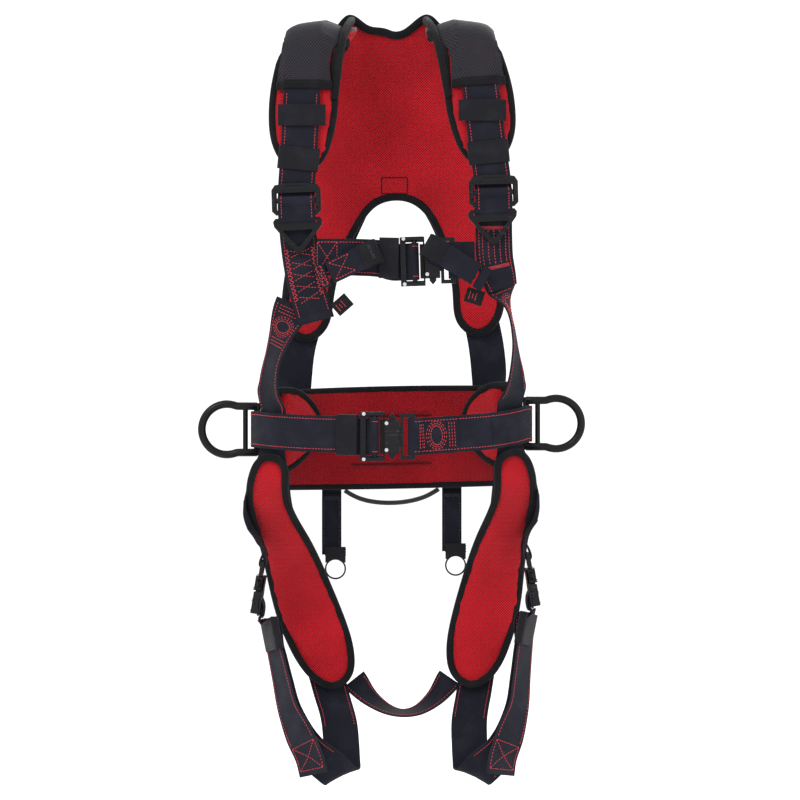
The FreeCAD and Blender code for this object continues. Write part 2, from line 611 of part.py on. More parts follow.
# ---------------------------------------------------------------- the assembly
def nodes():
    made = {
        "back_pad": back_pad(), "waist_pad": waist_pad(), "waist_belt": waist_belt(),
        "waist_belt_end": waist_belt_end(), "seat_strap": seat_strap(),
        "gear_loop": cord_tube(GEAR_ROUTE, GEAR_D), "elastic_keepers": elastic_keepers(), "tags": tags(),
        "dorsal_ring": dorsal_ring(), "dorsal_plate": dorsal_plate(),
    }
    for name, side in SIDES.items():
        made["shoulder_pad_" + name] = shoulder_pad(side)
        made["shoulder_cover_" + name] = shoulder_cover(side)
        made["hip_pad_" + name] = hip_pad(side)
        made["leg_pad_" + name] = leg_pad(side)
        made["shoulder_strap_" + name] = shoulder_strap(side)
        made["front_strap_" + name] = front_strap(name)
        made["leg_strap_" + name] = leg_strap(name)
        made["back_strap_" + name] = back_strap(side)
        made["chest_strap_" + name] = chest_strap(name)
        made["sternal_loop_" + name] = sternal_loop(name)
        made["tool_strap_" + name] = tool_strap(side)
        made["tool_ring_" + name] = tool_ring(side)
        made["adjuster_frame_" + name] = adjuster_frame(side)
        made["adjuster_bar_" + name] = adjuster_bar(side)
        made["triangle_ring_" + name] = triangle_ring(side)
        made["side_ring_" + name] = side_ring(side)
    rivets, bars = [], []
    for name in BUCKLES:
        made[name + "_buckle_body"] = in_buckle(buckle_body(), name)
        made[name + "_buckle_tongue"] = in_buckle(buckle_tongue(), name)
        made[name + "_buckle_tab_upper"] = in_buckle(buckle_tab(1), name)
        made[name + "_buckle_tab_lower"] = in_buckle(buckle_tab(-1), name)
        rivets += [in_buckle(rivet, name) for rivet in buckle_rivets()]
        bars.append(in_buckle(slide_bar(), name))
    made["buckle_rivets"] = Part.makeCompound(rivets)
    made["buckle_slide_bars"] = Part.makeCompound(bars)
    return made


os.makedirs("parts", exist_ok=True)
for node, shape in nodes().items():
    shape.exportStep("parts/%s.step" % node)
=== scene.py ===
"""Looks of the full-body safety harness: sewn pads, webbing, stitching and finishes round the CAD frame.

Routes, outlines and sizes are millimetres in the frame's own axes, and MM turns them into metres.
A name that ends in _M holds metres.
"""
import bmesh
import bpy
import math

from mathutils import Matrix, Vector, kdtree, noise
from mathutils.bvhtree import BVHTree


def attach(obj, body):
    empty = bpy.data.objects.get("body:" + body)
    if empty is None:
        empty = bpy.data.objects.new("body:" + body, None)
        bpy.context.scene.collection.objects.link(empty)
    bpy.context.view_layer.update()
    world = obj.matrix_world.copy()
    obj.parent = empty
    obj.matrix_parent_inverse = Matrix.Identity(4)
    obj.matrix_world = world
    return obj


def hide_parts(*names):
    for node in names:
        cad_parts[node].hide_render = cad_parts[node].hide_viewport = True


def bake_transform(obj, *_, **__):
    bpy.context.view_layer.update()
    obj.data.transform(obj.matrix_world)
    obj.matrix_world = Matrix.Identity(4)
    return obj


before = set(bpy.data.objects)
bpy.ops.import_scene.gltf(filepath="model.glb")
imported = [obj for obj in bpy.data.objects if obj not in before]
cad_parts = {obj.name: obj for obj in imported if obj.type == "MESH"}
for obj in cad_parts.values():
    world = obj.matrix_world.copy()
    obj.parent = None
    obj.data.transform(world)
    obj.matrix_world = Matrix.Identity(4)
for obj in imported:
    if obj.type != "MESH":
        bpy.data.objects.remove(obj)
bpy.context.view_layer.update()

MM = 0.001
ROOT = "harness"
SIDES = {"left": -1, "right": 1}
FORWARD = Vector((0, -1, 0))    # the way the wearer faces
BACKWARD = Vector((0, 1, 0))
RIGHT = Vector((1, 0, 0))
UP = Vector((0, 0, 1))
WEBBING = 45.0
WEBBING_T = 2.2
TOOL_WEBBING = 25.0
STITCH_PITCH = 3.8
STITCH_LENGTH = 2.5
ONE_STITCH = 99.0           # a pitch longer than any run, which makes it a single stitch
EDGE_ROW = 4.2              # distance of a stitch row from the webbing's edge

# The harness hangs with a slight sideways drift and roll, by height.
SWAY = [(25, -4), (-240, 5), (-400, 0), (-600, 0), (-945, 20)]
ROLL = [(25, 0.0), (-80, 0.02), (-240, 0.045), (-400, 0.03), (-505, 0.02), (-700, 0.03), (-900, 0.0)]


def between(table, z):
    """Value at height z in a table of (height, value), highest first."""
    if z >= table[0][0]:
        return table[0][1]
    for (z1, v1), (z2, v2) in zip(table, table[1:]):
        if z >= z2:
            return v1 + (v2 - v1) * (z1 - z) / (z1 - z2)
    return table[-1][1]


def hung(point):
    """Where a point of the symmetric design hangs."""
    x, y, z = point
    return Vector((x + between(SWAY, z), y, z + between(ROLL, z) * x))


def sided(path, side):
    """A right-hand path of (point, direction across) hung on one side of the body."""
    return [(hung((side * p[0], p[1], p[2])), Vector((a[0], a[1] * side, a[2] * side))) for p, a in path]


def smooth(t):
    """Eases from 0 to 1."""
    t = max(0.0, min(1.0, t))
    return t * t * (3 - 2 * t)


def square_to(vector, axis):
    """Direction of the part of a vector that is at right angles to an axis."""
    return (vector - axis * vector.dot(axis)).normalized()


def heading(points, i):
    """Direction of a path at its point i."""
    return (points[min(i + 1, len(points) - 1)] - points[max(i - 1, 0)]).normalized()


def bulge(value, power):
    """A cosine or sine drawn out, so that a circle turns squarer."""
    return math.copysign(abs(value) ** power, value)


def metres(point):
    return tuple(point * MM)


# ---------------------------------------------------------------- materials
MESH_PITCH = 3.3            # between the holes of the lining
PANEL_PITCH = 3.4


class Finish:
    """A procedural material and short ways to add nodes to it. Colours are (red, green, blue)."""

    def __init__(self, name, colour, roughness, metallic=0.0, sheen=0.0, coat=0.0):
        self.material = bpy.data.materials.new(name)
        self.material.use_nodes = True
        self.material.diffuse_color = (*colour, 1)
        self.tree = self.material.node_tree
        self.shader = self.tree.nodes["Principled BSDF"]
        self.put("Base Color", colour)
        self.put("Roughness", roughness)
        self.put("Metallic", metallic)
        self.put("Sheen Weight", sheen)
        self.put("Sheen Roughness", 0.4)
        self.put("Coat Weight", coat)
        if not metallic:
            self.put("Specular IOR Level", 0.10)

    def put(self, socket, value):
        """Sets an input of the shader, or links a node to it."""
        self.feed(self.shader.inputs[socket], value)

    def feed(self, socket, value):
        if isinstance(value, bpy.types.NodeSocket):
            self.tree.links.new(value, socket)
        elif socket.type == "RGBA":
            socket.default_value = (*value, 1)
        else:
            socket.default_value = value

    def add(self, kind, **inputs):
        """A new node; its inputs are numbers, colours or other nodes' sockets."""
        made = self.tree.nodes.new("ShaderNode" + kind)
        for key, value in inputs.items():
            self.feed(made.inputs[key], value)
        return made

    def math(self, operation, a, b=0.0, c=None):
        made = self.add("Math")
        made.operation = operation
        for socket, value in zip(made.inputs, (a, b, c)):
            if value is not None:
                self.feed(socket, value)
        return made.outputs[0]

    def times(self, a, b):
        return self.math("MULTIPLY", a, b)

    def plus(self, a, b):
        return self.math("ADD", a, b)

    def line(self, a, slope, start):
        """a * slope + start"""
        return self.math("MULTIPLY_ADD", a, slope, start)

    def wave(self, value, pitch):
        """Sine of a length, from 0 to 1."""
        turned = self.line(value, 2 * math.pi / pitch, 0.0)
        return self.line(self.math("SINE", turned), 0.5, 0.5)

    def split(self, vector):
        return tuple(self.add("SeparateXYZ", Vector=vector).outputs)

    def coordinates(self, kind):
        return self.add("TexCoord").outputs[kind]

    def noise(self, scale, detail=3.0):
        """Noise that stays fixed in the object."""
        return self.noise_at(self.coordinates("Object"), scale, detail)

    def noise_at(self, place, scale, detail):
        return self.add("TexNoise", Vector=place, Scale=scale, Detail=detail).outputs["Fac"]

    def span(self, value, low, high, out_low, out_high):
        """A smooth step between two values."""
        made = self.add("MapRange")
        made.interpolation_type = "SMOOTHSTEP"
        for socket, v in zip(made.inputs, (value, low, high, out_low, out_high)):
            self.feed(socket, v)
        return made.outputs[0]

    def mix(self, factor, first, second):
        made = self.add("Mix")
        made.data_type = "RGBA"
        self.feed(made.inputs[0], factor)
        self.feed(made.inputs[6], first)
        self.feed(made.inputs[7], second)
        return made.outputs[2]

    def colours(self, factor, first, second):
        """Colours the surface from first to second."""
        self.put("Base Color", self.mix(factor, first, second))

    def bump(self, height, strength, depth):
        """A bump that is depth metres high."""
        self.put("Normal", self.add("Bump", Height=height, Strength=strength, Distance=depth).outputs[0])

    def surface_plane(self):
        """Two object coordinates that lie in the surface, whichever way it faces."""
        x, y, z = self.split(self.coordinates("Object"))
        nx, ny, nz = (self.math("ABSOLUTE", n) for n in self.split(self.coordinates("Normal")))
        sideways = self.math("GREATER_THAN", nx, ny)
        level = self.math("GREATER_THAN", nz, 0.75)
        a = self.plus(self.times(x, self.math("SUBTRACT", 1.0, sideways)), self.times(y, sideways))
        b = self.plus(self.times(z, self.math("SUBTRACT", 1.0, level)), self.times(y, level))
        return a, b

    def lattice(self, a, b, pitch):
        """Distance, in pitches, from the nearest point of a diamond lattice."""
        squares = []
        for diagonal in (self.plus(a, b), self.math("SUBTRACT", a, b)):
            place = self.math("SUBTRACT", self.math("FRACT", self.math("DIVIDE", diagonal, pitch * MM)), 0.5)
            squares.append(self.times(place, place))
        return self.math("SQRT", self.plus(*squares))


def tinted(colour, scale, lift=0.0):
    """A colour made lighter or darker."""
    return tuple(min(1.0, c * scale + lift) for c in colour)


def woven(name, dark, light, rib, column, sheen, roughness=0.75):
    """Webbing: columns of yarn along the strap, crossed by fine ribs, slightly worn in places; painted
    highlight on the yarn crowns and painted shade between them.
    """
    f = Finish(name, dark, roughness, sheen=sheen)
    across, along, _ = f.split(f.coordinates("UV"))
    ribs = f.wave(f.line(across, 0.35, along), rib * MM)
    height = f.times(ribs, f.line(f.wave(across, column * MM), 0.55, 0.45))
    fibre = f.noise(900.0, 2.0)
    wear = f.span(f.noise(38.0), 0.45, 0.75, 0.0, 0.35)
    # Painted highlight on the yarn crowns and painted shade in the hollows, from the weave's height, plus
    # random fibre tone.
    crown_highlight_and_fibre = f.times(f.plus(height, f.times(fibre, 0.5)), 0.6)
    f.colours(f.plus(crown_highlight_and_fibre, wear), dark, light)
    f.put("Roughness", f.line(fibre, 0.2, roughness - 0.1))
    f.bump(f.plus(height, f.times(fibre, 0.3)), 0.55, 0.0006)
    return f.material


def spacer_mesh(name, colour, hole):
    """Knitted lining with a lattice of small open holes, unevenly worn."""
    f = Finish(name, colour, 0.8, sheen=0.10)
    a, b = f.surface_plane()
    open_hole = f.span(f.lattice(a, b, MESH_PITCH), 0.20, 0.40, 1.0, 0.0)
    knit = f.wave(b, 0.9 * MM)
    fibre = f.noise(500.0, 2.0)
    worn = f.span(f.noise(14.0), 0.35, 0.7, 0.86, 1.12)
    rows = f.mix(f.times(knit, 0.35), colour, tinted(colour, 1.35))
    body = f.add("HueSaturation", Color=rows, Value=worn)
    f.colours(open_hole, body.outputs[0], hole)
    f.bump(f.math("SUBTRACT", f.plus(f.times(knit, 0.2), f.times(fibre, 0.2)), open_hole), 0.7, 0.0012)
    return f.material


def cover_mesh():
    """Open diagonal mesh panel with the red padding showing faintly between its strands."""
    f = Finish("mesh_panel", (0.012, 0.012, 0.016), 0.7)
    across, along, _ = f.split(f.coordinates("UV"))
    strand = f.span(f.lattice(across, f.times(along, 0.6), PANEL_PITCH), 0.22, 0.36, 0.0, 1.0)
    patchy = f.span(f.noise(30.0), 0.45, 0.7, 0.0, 0.7)
    under = f.mix(patchy, (0.003, 0.003, 0.004), (0.030, 0.004, 0.006))
    f.colours(strand, under, (0.024, 0.023, 0.029))
    f.bump(strand, 0.6, 0.0008)
    return f.material


def shell_cloth():
    """Plain-woven hard-wearing cloth on the outer faces of the pads."""
    f = Finish("outer_cloth", (0.016, 0.017, 0.02), 0.85, sheen=0.3)
    a, b = f.surface_plane()
    weave = f.times(f.wave(a, 1.3 * MM), f.wave(b, 1.3 * MM))
    worn = f.span(f.noise(25.0), 0.5, 0.75, 0.0, 0.4)
    f.colours(f.plus(f.times(weave, 0.6), worn), (0.012, 0.012, 0.015), (0.04, 0.041, 0.048))
    f.bump(weave, 0.5, 0.0006)
    return f.material


def coated_steel(name, colour, roughness, metallic=0.0):
    """Steel with a satin coating: slight mottling, fine scratches, handling marks."""
    f = Finish(name, colour, roughness, metallic=metallic, coat=0.12)
    f.put("Coat Roughness", 0.25)
    mottle = f.noise(160.0, 4.0)
    stretched = f.add("Mapping", Vector=f.coordinates("Object"), Scale=(60.0, 60.0, 900.0)).outputs[0]
    scratch = f.span(f.noise_at(stretched, 1.0, 2.0), 0.64, 0.70, 0.0, 1.0)
    marks = f.times(scratch, f.span(f.noise(22.0), 0.5, 0.65, 0.0, 0.5))
    f.colours(marks, colour, tinted(colour, 3, 0.05))
    f.put("Roughness", f.plus(f.line(mottle, 0.18, roughness - 0.09), f.times(marks, 0.15)))
    f.bump(mottle, 0.08, 0.0002)
    return f.material


def thread(name, colour):
    f = Finish(name, colour, 0.6, sheen=0.3)
    twist = f.noise(2600.0, 1.0)
    f.colours(twist, tinted(colour, 0.6), colour)
    f.bump(twist, 0.4, 0.0002)
    return f.material


def braid():
    """Braided cord: two crossing sets of strands."""
    f = Finish("cord_braid", (0.015, 0.015, 0.018), 0.6, sheen=0.3)
    x, _, z = f.split(f.coordinates("Object"))
    strands = [f.wave(f.math(way, x, f.times(z, 1.5)), 2.0 * MM) for way in ("ADD", "SUBTRACT")]
    height = f.math("MAXIMUM", *strands)
    f.colours(height, (0.008, 0.008, 0.01), (0.045, 0.045, 0.052))
    f.bump(height, 0.6, 0.0006)
    return f.material


def moulded(name, colour):
    f = Finish(name, colour, 0.5)
    grain = f.noise(1400.0, 2.0)
    f.put("Roughness", f.line(grain, 0.2, 0.4))
    f.bump(grain, 0.25, 0.0002)
    return f.material


def floor_paint():
    f = Finish("floor_paint", (0.86, 0.86, 0.86), 0.9)
    f.colours(f.noise(3.0, 2.0), (0.90, 0.90, 0.90), (0.92, 0.92, 0.92))
    return f.material


M = {
    "lining": spacer_mesh("red_lining", (0.46, 0.010, 0.018), (0.16, 0.004, 0.006)),
    # A darker copy of the red lining, for the waist pad: painted shade standing in for the shadow that falls
    # on it.
    "lining_painted_shade": spacer_mesh("red_lining_painted_shade", (0.33, 0.007, 0.013), (0.10, 0.003, 0.005)),
    "outer": shell_cloth(),
    "binding": woven("binding_tape", (0.003, 0.003, 0.004), (0.013, 0.013, 0.015), 1.0, 3.0, 0.05, 0.8),
    "webbing": woven("webbing_black", (0.004, 0.0045, 0.008), (0.018, 0.019, 0.030), 1.5, 2.4, 0.03),
    "webbing_grey": woven("webbing_grey", (0.006, 0.0065, 0.011), (0.026, 0.027, 0.038), 1.5, 2.4, 0.03),
    "elastic": woven("elastic_tape", (0.004, 0.004, 0.006), (0.018, 0.018, 0.024), 0.9, 1.5, 0.08, 0.7),
    "sleeve": woven("loop_sleeve", (0.003, 0.003, 0.004), (0.014, 0.014, 0.018), 2.0, 1.8, 0.05, 0.6),
    # Dark red of the thin tubes laid in slits and seams: painted shade inside them.
    "slit": thread("slit_painted_shade", (0.07, 0.003, 0.005)),
    "mesh": cover_mesh(),
    "red_thread": thread("thread_red", (0.62, 0.035, 0.05)),
    "dark_thread": thread("thread_dark", (0.02, 0.02, 0.024)),
    "lining_thread": thread("thread_lining", (0.16, 0.008, 0.012)),
    "steel": coated_steel("coated_steel", (0.008, 0.008, 0.010), 0.28),
    "ring_steel": coated_steel("ring_steel", (0.006, 0.006, 0.007), 0.26),
    "rivet": coated_steel("bright_rivet", (0.62, 0.62, 0.64), 0.22, 1.0),
    "cord": braid(),
    "plastic": moulded("moulded_black", (0.014, 0.014, 0.016)),
}


# ---------------------------------------------------------------- making pieces
def show(name, data):
    """A new object in the scene."""
    obj = bpy.data.objects.new(name, data)
    bpy.context.scene.collection.objects.link(obj)
    return obj


def piece(name, vertices, faces, material, body=ROOT, uvs=None, shade=True):
    """A mesh piece from points in millimetres. It rides on one body, unless body is None."""
    mesh = bpy.data.meshes.new(name)
    mesh.from_pydata([Vector(v) * MM for v in vertices], [], faces)
    if uvs:
        layer = mesh.uv_layers.new(name="UVMap")
        for loop in mesh.loops:
            layer.data[loop.index].uv = uvs[loop.vertex_index]
    mesh.materials.append(M[material])
    for polygon in mesh.polygons:
        polygon.use_smooth = shade
    mesh.validate()
    obj = show(name, mesh)
    if body:
        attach(obj, body)
    return obj


def skin(rows, around, ring=False):
    """Faces between rows of points that go round a section. A ring joins up, and any other gets ends."""
    faces = []
    for i in range(rows if ring else rows - 1):
        one, two = i * around, (i + 1) % rows * around
        for k in range(around):
            j = (k + 1) % around
            faces.append((one + k, two + k, two + j, one + j))
    if not ring:
        faces.append(tuple(range(around)))
        faces.append(tuple((rows - 1) * around + k for k in reversed(range(around))))
    return faces


def recalculate(obj):
    """Turns the faces outwards."""
    work = bmesh.new()
    work.from_mesh(obj.data)
    bmesh.ops.recalc_face_normals(work, faces=work.faces)
    work.to_mesh(obj.data)
    work.free()


TAPE_POINTS = 14            # round a tape's section
TAPE_POWER = 0.7            # 1 would be an ellipse


def tape(name, places, half_width, half_depth, material, ring=False):
    """A round-edged tape through places of (centre, width direction, depth direction, length so far)."""
    vertices, uvs = [], []
    for centre, wide, deep, length in places:
        for k in range(TAPE_POINTS):
            t = 2 * math.pi * k / TAPE_POINTS
            a = bulge(math.cos(t), TAPE_POWER) * half_width
            b = bulge(math.sin(t), TAPE_POWER) * half_depth
            vertices.append(centre + wide * a + deep * b)
            uvs.append((k * WEBBING_T * MM, length * MM))
    recalculate(piece(name, vertices, skin(len(places), TAPE_POINTS, ring), material, uvs=uvs))


def tube(name, path, half_width, half_depth, material, width_way):
    """A round-edged tape along an open path; width_way is roughly where its width lies."""
    places, length = [], 0.0
    for i, centre in enumerate(path):
        tangent = heading(path, i)
        wide = square_to(width_way, tangent)
        length += (centre - path[i - 1]).length if i else 0.0
        places.append((centre, wide, tangent.cross(wide), length))
    tape(name, places, half_width, half_depth, material)


def spline(points, step):
    """A smooth curve through (point, direction) stations, as (length so far, point, direction) places."""
    result = []
    for i in range(len(points) - 1):
        p = [points[max(i - 1, 0)], points[i], points[i + 1], points[min(i + 2, len(points) - 1)]]
        count = max(1, round((p[2][0] - p[1][0]).length / step))
        for k in range(count):
            result.append(hermite(p, k / count))
    result.append(points[-1])
    length, out = 0.0, []
    for i, (centre, across) in enumerate(result):
        if i:
            length += (centre - result[i - 1][0]).length
        out.append((length, Vector(centre), Vector(across)))
    return out


def hermite(p, t):
    """Cubic between stations p[1] and p[2], with slopes that allow for uneven gaps."""
    span = (p[2][0] - p[1][0]).length
    before = (p[1][0] - p[0][0]).length or span
    after = (p[3][0] - p[2][0]).length or span
    t2, t3 = t * t, t * t * t
    out = []
    for k in (0, 1):
        slope = (p[2][k] - p[1][k]) / span
        m1 = (slope + (p[1][k] - p[0][k]) / before) * 0.5 * span
        m2 = ((p[3][k] - p[2][k]) / after + slope) * 0.5 * span
        ends = p[1][k] * (2 * t3 - 3 * t2 + 1) + p[2][k] * (3 * t2 - 2 * t3)
        out.append(ends + m1 * (t3 - 2 * t2 + t) + m2 * (t3 - t2))
    return out


# One face of the webbing's section, from edge to edge: (place across, share of the thickness).
SECTION_HALF = [(-1.0, 0.35), (-0.985, 0.75), (-0.95, 1.0), (-0.9, 1.0), (-0.86, 0.88), (-0.5, 0.92)]
SECTION = SECTION_HALF + [(0.0, 0.95)] + [(-a, share) for a, share in reversed(SECTION_HALF)]


class Strap:
    """Flat webbing along stations of (centre, direction across), with places on it for stitches.

    Its rings are (length so far, centre, tangent, direction across, normal). No material means no mesh.
    """

    def __init__(self, name, stations, width=WEBBING, thickness=WEBBING_T, material="webbing", body=ROOT,
                 step=4.0):
        self.width = width
        self.thickness = thickness
        self.body = body
        self.rings = []
        line = spline([(Vector(c), Vector(a).normalized()) for c, a in stations], step)
        centres = [centre for _, centre, _ in line]
        for i, (length, centre, across) in enumerate(line):
            tangent = heading(centres, i)
            across = square_to(across, tangent)
            self.rings.append((length, centre, tangent, across, tangent.cross(across)))
        self.length = self.rings[-1][0]
        self.obj = self.build(name, material) if material else None

    def build(self, name, material):
        vertices, uvs = [], []
        section = SECTION + [(a, -share) for a, share in reversed(SECTION)]
        for length, centre, _, across, normal in self.rings:
            for share_across, share in section:
                a = share_across * self.width / 2
                vertices.append(centre + across * a + normal * (share * self.thickness / 2))
                uvs.append((a * MM, length * MM))
        return piece(name, vertices, skin(len(self.rings), len(section)), material, self.body, uvs)

    def at(self, along, across, side=1):
        """(point, direction along, normal) on the surface of one side."""
        along = max(0.0, min(self.length, along))
        for one, two in zip(self.rings, self.rings[1:]):
            if along <= two[0]:
                break
        t = (along - one[0]) / max(two[0] - one[0], 1e-6)
        centre, tangent, over, normal = (one[k].lerp(two[k], t) for k in (1, 2, 3, 4))
        normal = normal.normalized() * side
        point = centre + over.normalized() * across + normal * (self.thickness * 0.5)
        return point, tangent.normalized(), normal

    def sew(self, path, side, thread_name="red_thread", pitch=STITCH_PITCH, length=STITCH_LENGTH):
        """Dashes along a path of (along, across) places on one side."""
        for (s1, a1), (s2, a2) in zip(path, path[1:]):
            count = max(1, round(math.hypot(s2 - s1, a2 - a1) / pitch))
            for k in range(count):
                t = (k + 0.5) / count
                point, _, normal = self.at(s1 + (s2 - s1) * t, a1 + (a2 - a1) * t, side)
                ahead, _, _ = self.at(s1 + (s2 - s1) * (t + 0.02), a1 + (a2 - a1) * (t + 0.02), side)
                add_stitch(self.body, thread_name, point, (ahead - point).normalized(), normal, length)

    def edge_rows(self, side, start=0.0, end=None, thread_name="red_thread", inset=EDGE_ROW):
        end = self.length if end is None else end
        for a in (-1, 1):
            place = a * (self.width / 2 - inset)
            self.sew([(start, place), (end, place)], side, thread_name)

    def cross(self, start, end, half, side):
        """The two diagonals of a rectangle."""
        for a in (-half, half):
            self.sew([(start, a), (end, -a)], side)

    def box_x(self, start, end, side, inset=4.0):
        """A sewn rectangle with its diagonals."""
        w = self.width / 2 - inset
        self.sew([(start, -w), (end, -w), (end, w), (start, w), (start, -w)], side)
        self.cross(start, end, w, side)

    def bars(self, places, half, side):
        """Rows straight across the strap."""
        for along in places:
            self.sew([(along, -half), (along, half)], side)

    def zigzag(self, start, end, across, side, amplitude=2.0, pitch=2.6):
        """A close zigzag along the strap."""
        count = max(2, round((end - start) / pitch))
        path = []
        for k in range(count + 1):
            path.append((start + (end - start) * k / count, across + amplitude * (1 if k % 2 else -1)))
        self.sew(path, side, pitch=ONE_STITCH, length=math.hypot(pitch, 2 * amplitude) * 0.95)

    def bar_tack(self, along, half, side, thread_name="red_thread"):
        """A bar of close stitches across the strap."""
        count = round(2 * half / 1.6)
        for k in range(count):
            a = -half + 2 * half * (k + 0.5) / count
            bar = [(along - 2.4, a), (along + 2.4, a + 0.8)]
            self.sew(bar, side, thread_name, pitch=ONE_STITCH, length=4.8)

    def ovals(self, along, long_half, across_half, side):
        """Three ovals, one inside the other."""
        for shrink in (0, 2.6, 5.2):
            a, b = long_half - shrink, across_half - shrink
            turns = [2 * math.pi * (k % 20) / 20 for k in range(21)]
            self.sew([(along + a * math.cos(t), b * math.sin(t)) for t in turns], side)


STITCHES = {}
# A stitch along its length: (place, lift of the yarn, half width).
STITCH_ARCH = ((-0.5, 0.0, 0.25), (-0.3, 0.45, 0.46), (0.3, 0.45, 0.46), (0.5, 0.0, 0.25))


def add_stitch(body, thread_name, point, along, normal, length=STITCH_LENGTH):
    STITCHES.setdefault((body, thread_name), []).append((point, along, normal, length))


def build_stitches():
    """One mesh per body and thread, a small arched bar of yarn for each stitch.

    A body can also be (name, body, other body, start, end): those stitches go in one mesh of that name on no
    body, and the other four entries are not used.
    """
    for (body, thread_name), dashes in STITCHES.items():
        vertices, faces = [], []
        for point, along, normal, length in dashes:
            side = along.cross(normal).normalized()
            first = len(vertices)
            for place, lift, half in STITCH_ARCH:
                centre = point + along * (place * length) + normal * (lift - 0.05)
                for across, rise in ((-1, -0.25), (-0.7, 0.22), (0.7, 0.22), (1, -0.25)):
                    vertices.append(centre + side * half * across + normal * rise)
            for row in range(first, first + 12, 4):
                for k in range(4):
                    j = (k + 1) % 4
                    faces.append((row + k, row + j, row + 4 + j, row + 4 + k))
            faces.append((first + 3, first + 2, first + 1, first))
            faces.append((first + 12, first + 13, first + 14, first + 15))
        if isinstance(body, str):
            piece("stitches_%s_%s" % (thread_name, body), vertices, faces, thread_name, body)
        else:
            name, one, other, start, end = body
            bent = piece("stitches_%s_%s" % (thread_name, name), vertices, faces, thread_name, None)
            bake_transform(bent)


# ---------------------------------------------------------------- pads
SHARP = math.radians(50)
CORNER_M = 0.016            # longest edge that runs through a pad's thickness
REMESH_M = 0.0048
SWELL_CAP_M = 0.0022
CLOTH_FRAMES = 20
EDGE_THIN_M = 0.0028        # how much thinner a pad is where its edge is bound
EDGE_REACH_M = 0.020
EDGE_PULL_M = 0.0012        # how far its side is drawn in
SHRINK_M = 0.0006           # room all over for the swelling
BROAD_CRUMPLE_M = 0.00035
FINE_CRUMPLE_M = 0.0002
BINDING_INSET = 3.4
BINDING_HALF_DEPTH = 5.6


def node_mesh(name):
    """A welded copy of a CAD node's mesh, in metres."""
    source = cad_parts[name]
    work = bmesh.new()
    work.from_mesh(source.data)
    work.transform(source.matrix_world)
    bmesh.ops.remove_doubles(work, verts=work.verts, dist=1e-5)
    return work


def chain_length(points):
    return sum((b - a).length for a, b in zip(points, points[1:]))


def rims(work):
    """The two closed loops of sharp edges round a slab's broad faces, the longer first."""
    sharp = [e for e in work.edges if len(e.link_faces) == 2 and e.calc_face_angle(0) > SHARP]
    meets = {}
    for e in sharp:
        for v in e.verts:
            meets[v] = meets.get(v, 0) + 1
    edges = [e for e in sharp if not (e.calc_length() < CORNER_M and all(meets[v] > 2 for v in e.verts))]
    left = {}
    for e in edges:
        for v in e.verts:
            left.setdefault(v, []).append(e)
    loops, used = [], set()
    for start in edges:
        if start in used:
            continue
        used.add(start)
        chain, vert = [start.verts[0].co.copy(), start.verts[1].co.copy()], start.verts[1]
        following = [e for e in left[vert] if e not in used]
        while following:
            used.add(following[0])
            vert = following[0].other_vert(vert)
            chain.append(vert.co.copy())
            following = [e for e in left[vert] if e not in used]
        loops.append(chain)
    return sorted(loops, key=lambda chain: -chain_length(chain))[:2]


def resample(chain, step):
    """Points at an even spacing round a closed chain."""
    points = chain + ([chain[0]] if (chain[0] - chain[-1]).length > 1e-6 else [])
    total = chain_length(points)
    count = max(4, round(total / step))
    out, walked, target = [], 0.0, 0.0
    for a, b in zip(points, points[1:]):
        run = (b - a).length
        while len(out) < count and target <= walked + run and run > 0:
            out.append(a.lerp(b, (target - walked) / run))
            target += total / count
        walked += run
    return out


def soften(points, rounds):
    """Averages a closed chain with its neighbours."""
    for _ in range(rounds):
        n = len(points)
        points = [(points[i - 1] + points[i] * 2 + points[(i + 1) % n]) / 4 for i in range(n)]
    return points


def finder(points):
    """A tree that finds the nearest of some points."""
    tree = kdtree.KDTree(len(points))
    for i, p in enumerate(points):
        tree.insert(p, i)
    tree.balance()
    return tree


class Rim:
    """Middle line of a pad's edge: points, thickness directions and directions into the pad, in metres."""

    def __init__(self, name, rounds=2):
        work = node_mesh(name)
        one, two = rims(work)
        work.free()
        other = finder(resample(two, 0.002))
        self.points, self.through = [], []
        for p in soften(resample(one, 0.004), rounds):
            q, _, _ = other.find(p)
            self.points.append((p + q) / 2)
            self.through.append((q - p).normalized())
        centre = sum(self.points, Vector()) / len(self.points)
        self.inward = []
        turn = 0.0
        for i, point in enumerate(self.points):
            tangent = (self.points[(i + 1) % len(self.points)] - self.points[i - 1]).normalized()
            self.inward.append(tangent.cross(self.through[i]).normalized())
            turn += self.inward[i].dot(centre - point)
        if turn < 0:
            self.inward = [-v for v in self.inward]
        self.tree = finder(self.points)


def binding(name, rim, half_width=4.6):
    """Folded tape round a pad's edge, slightly uneven in depth."""
    places, length = [], 0.0
    for i, point in enumerate(rim.points):
        length += (point - rim.points[i - 1]).length / MM if i else 0.0
        ripple = 1 + 0.05 * math.sin(i * 1.9) * math.sin(i * 0.37)
        centre = point / MM + rim.inward[i] * BINDING_INSET
        places.append((centre, rim.inward[i], rim.through[i] * ripple, length))
    tape(name, places, half_width, BINDING_HALF_DEPTH, "binding", ring=True)


def segment_distance(p, a, b):
    ab = b - a
    t = max(0.0, min(1.0, (p - a).dot(ab) / ab.length_squared))
    return (p - a - ab * t).length


def apply_modifiers(obj):
    depsgraph = bpy.context.evaluated_depsgraph_get()
    mesh = bpy.data.meshes.new_from_object(obj.evaluated_get(depsgraph))
    obj.modifiers.clear()
    obj.data = mesh


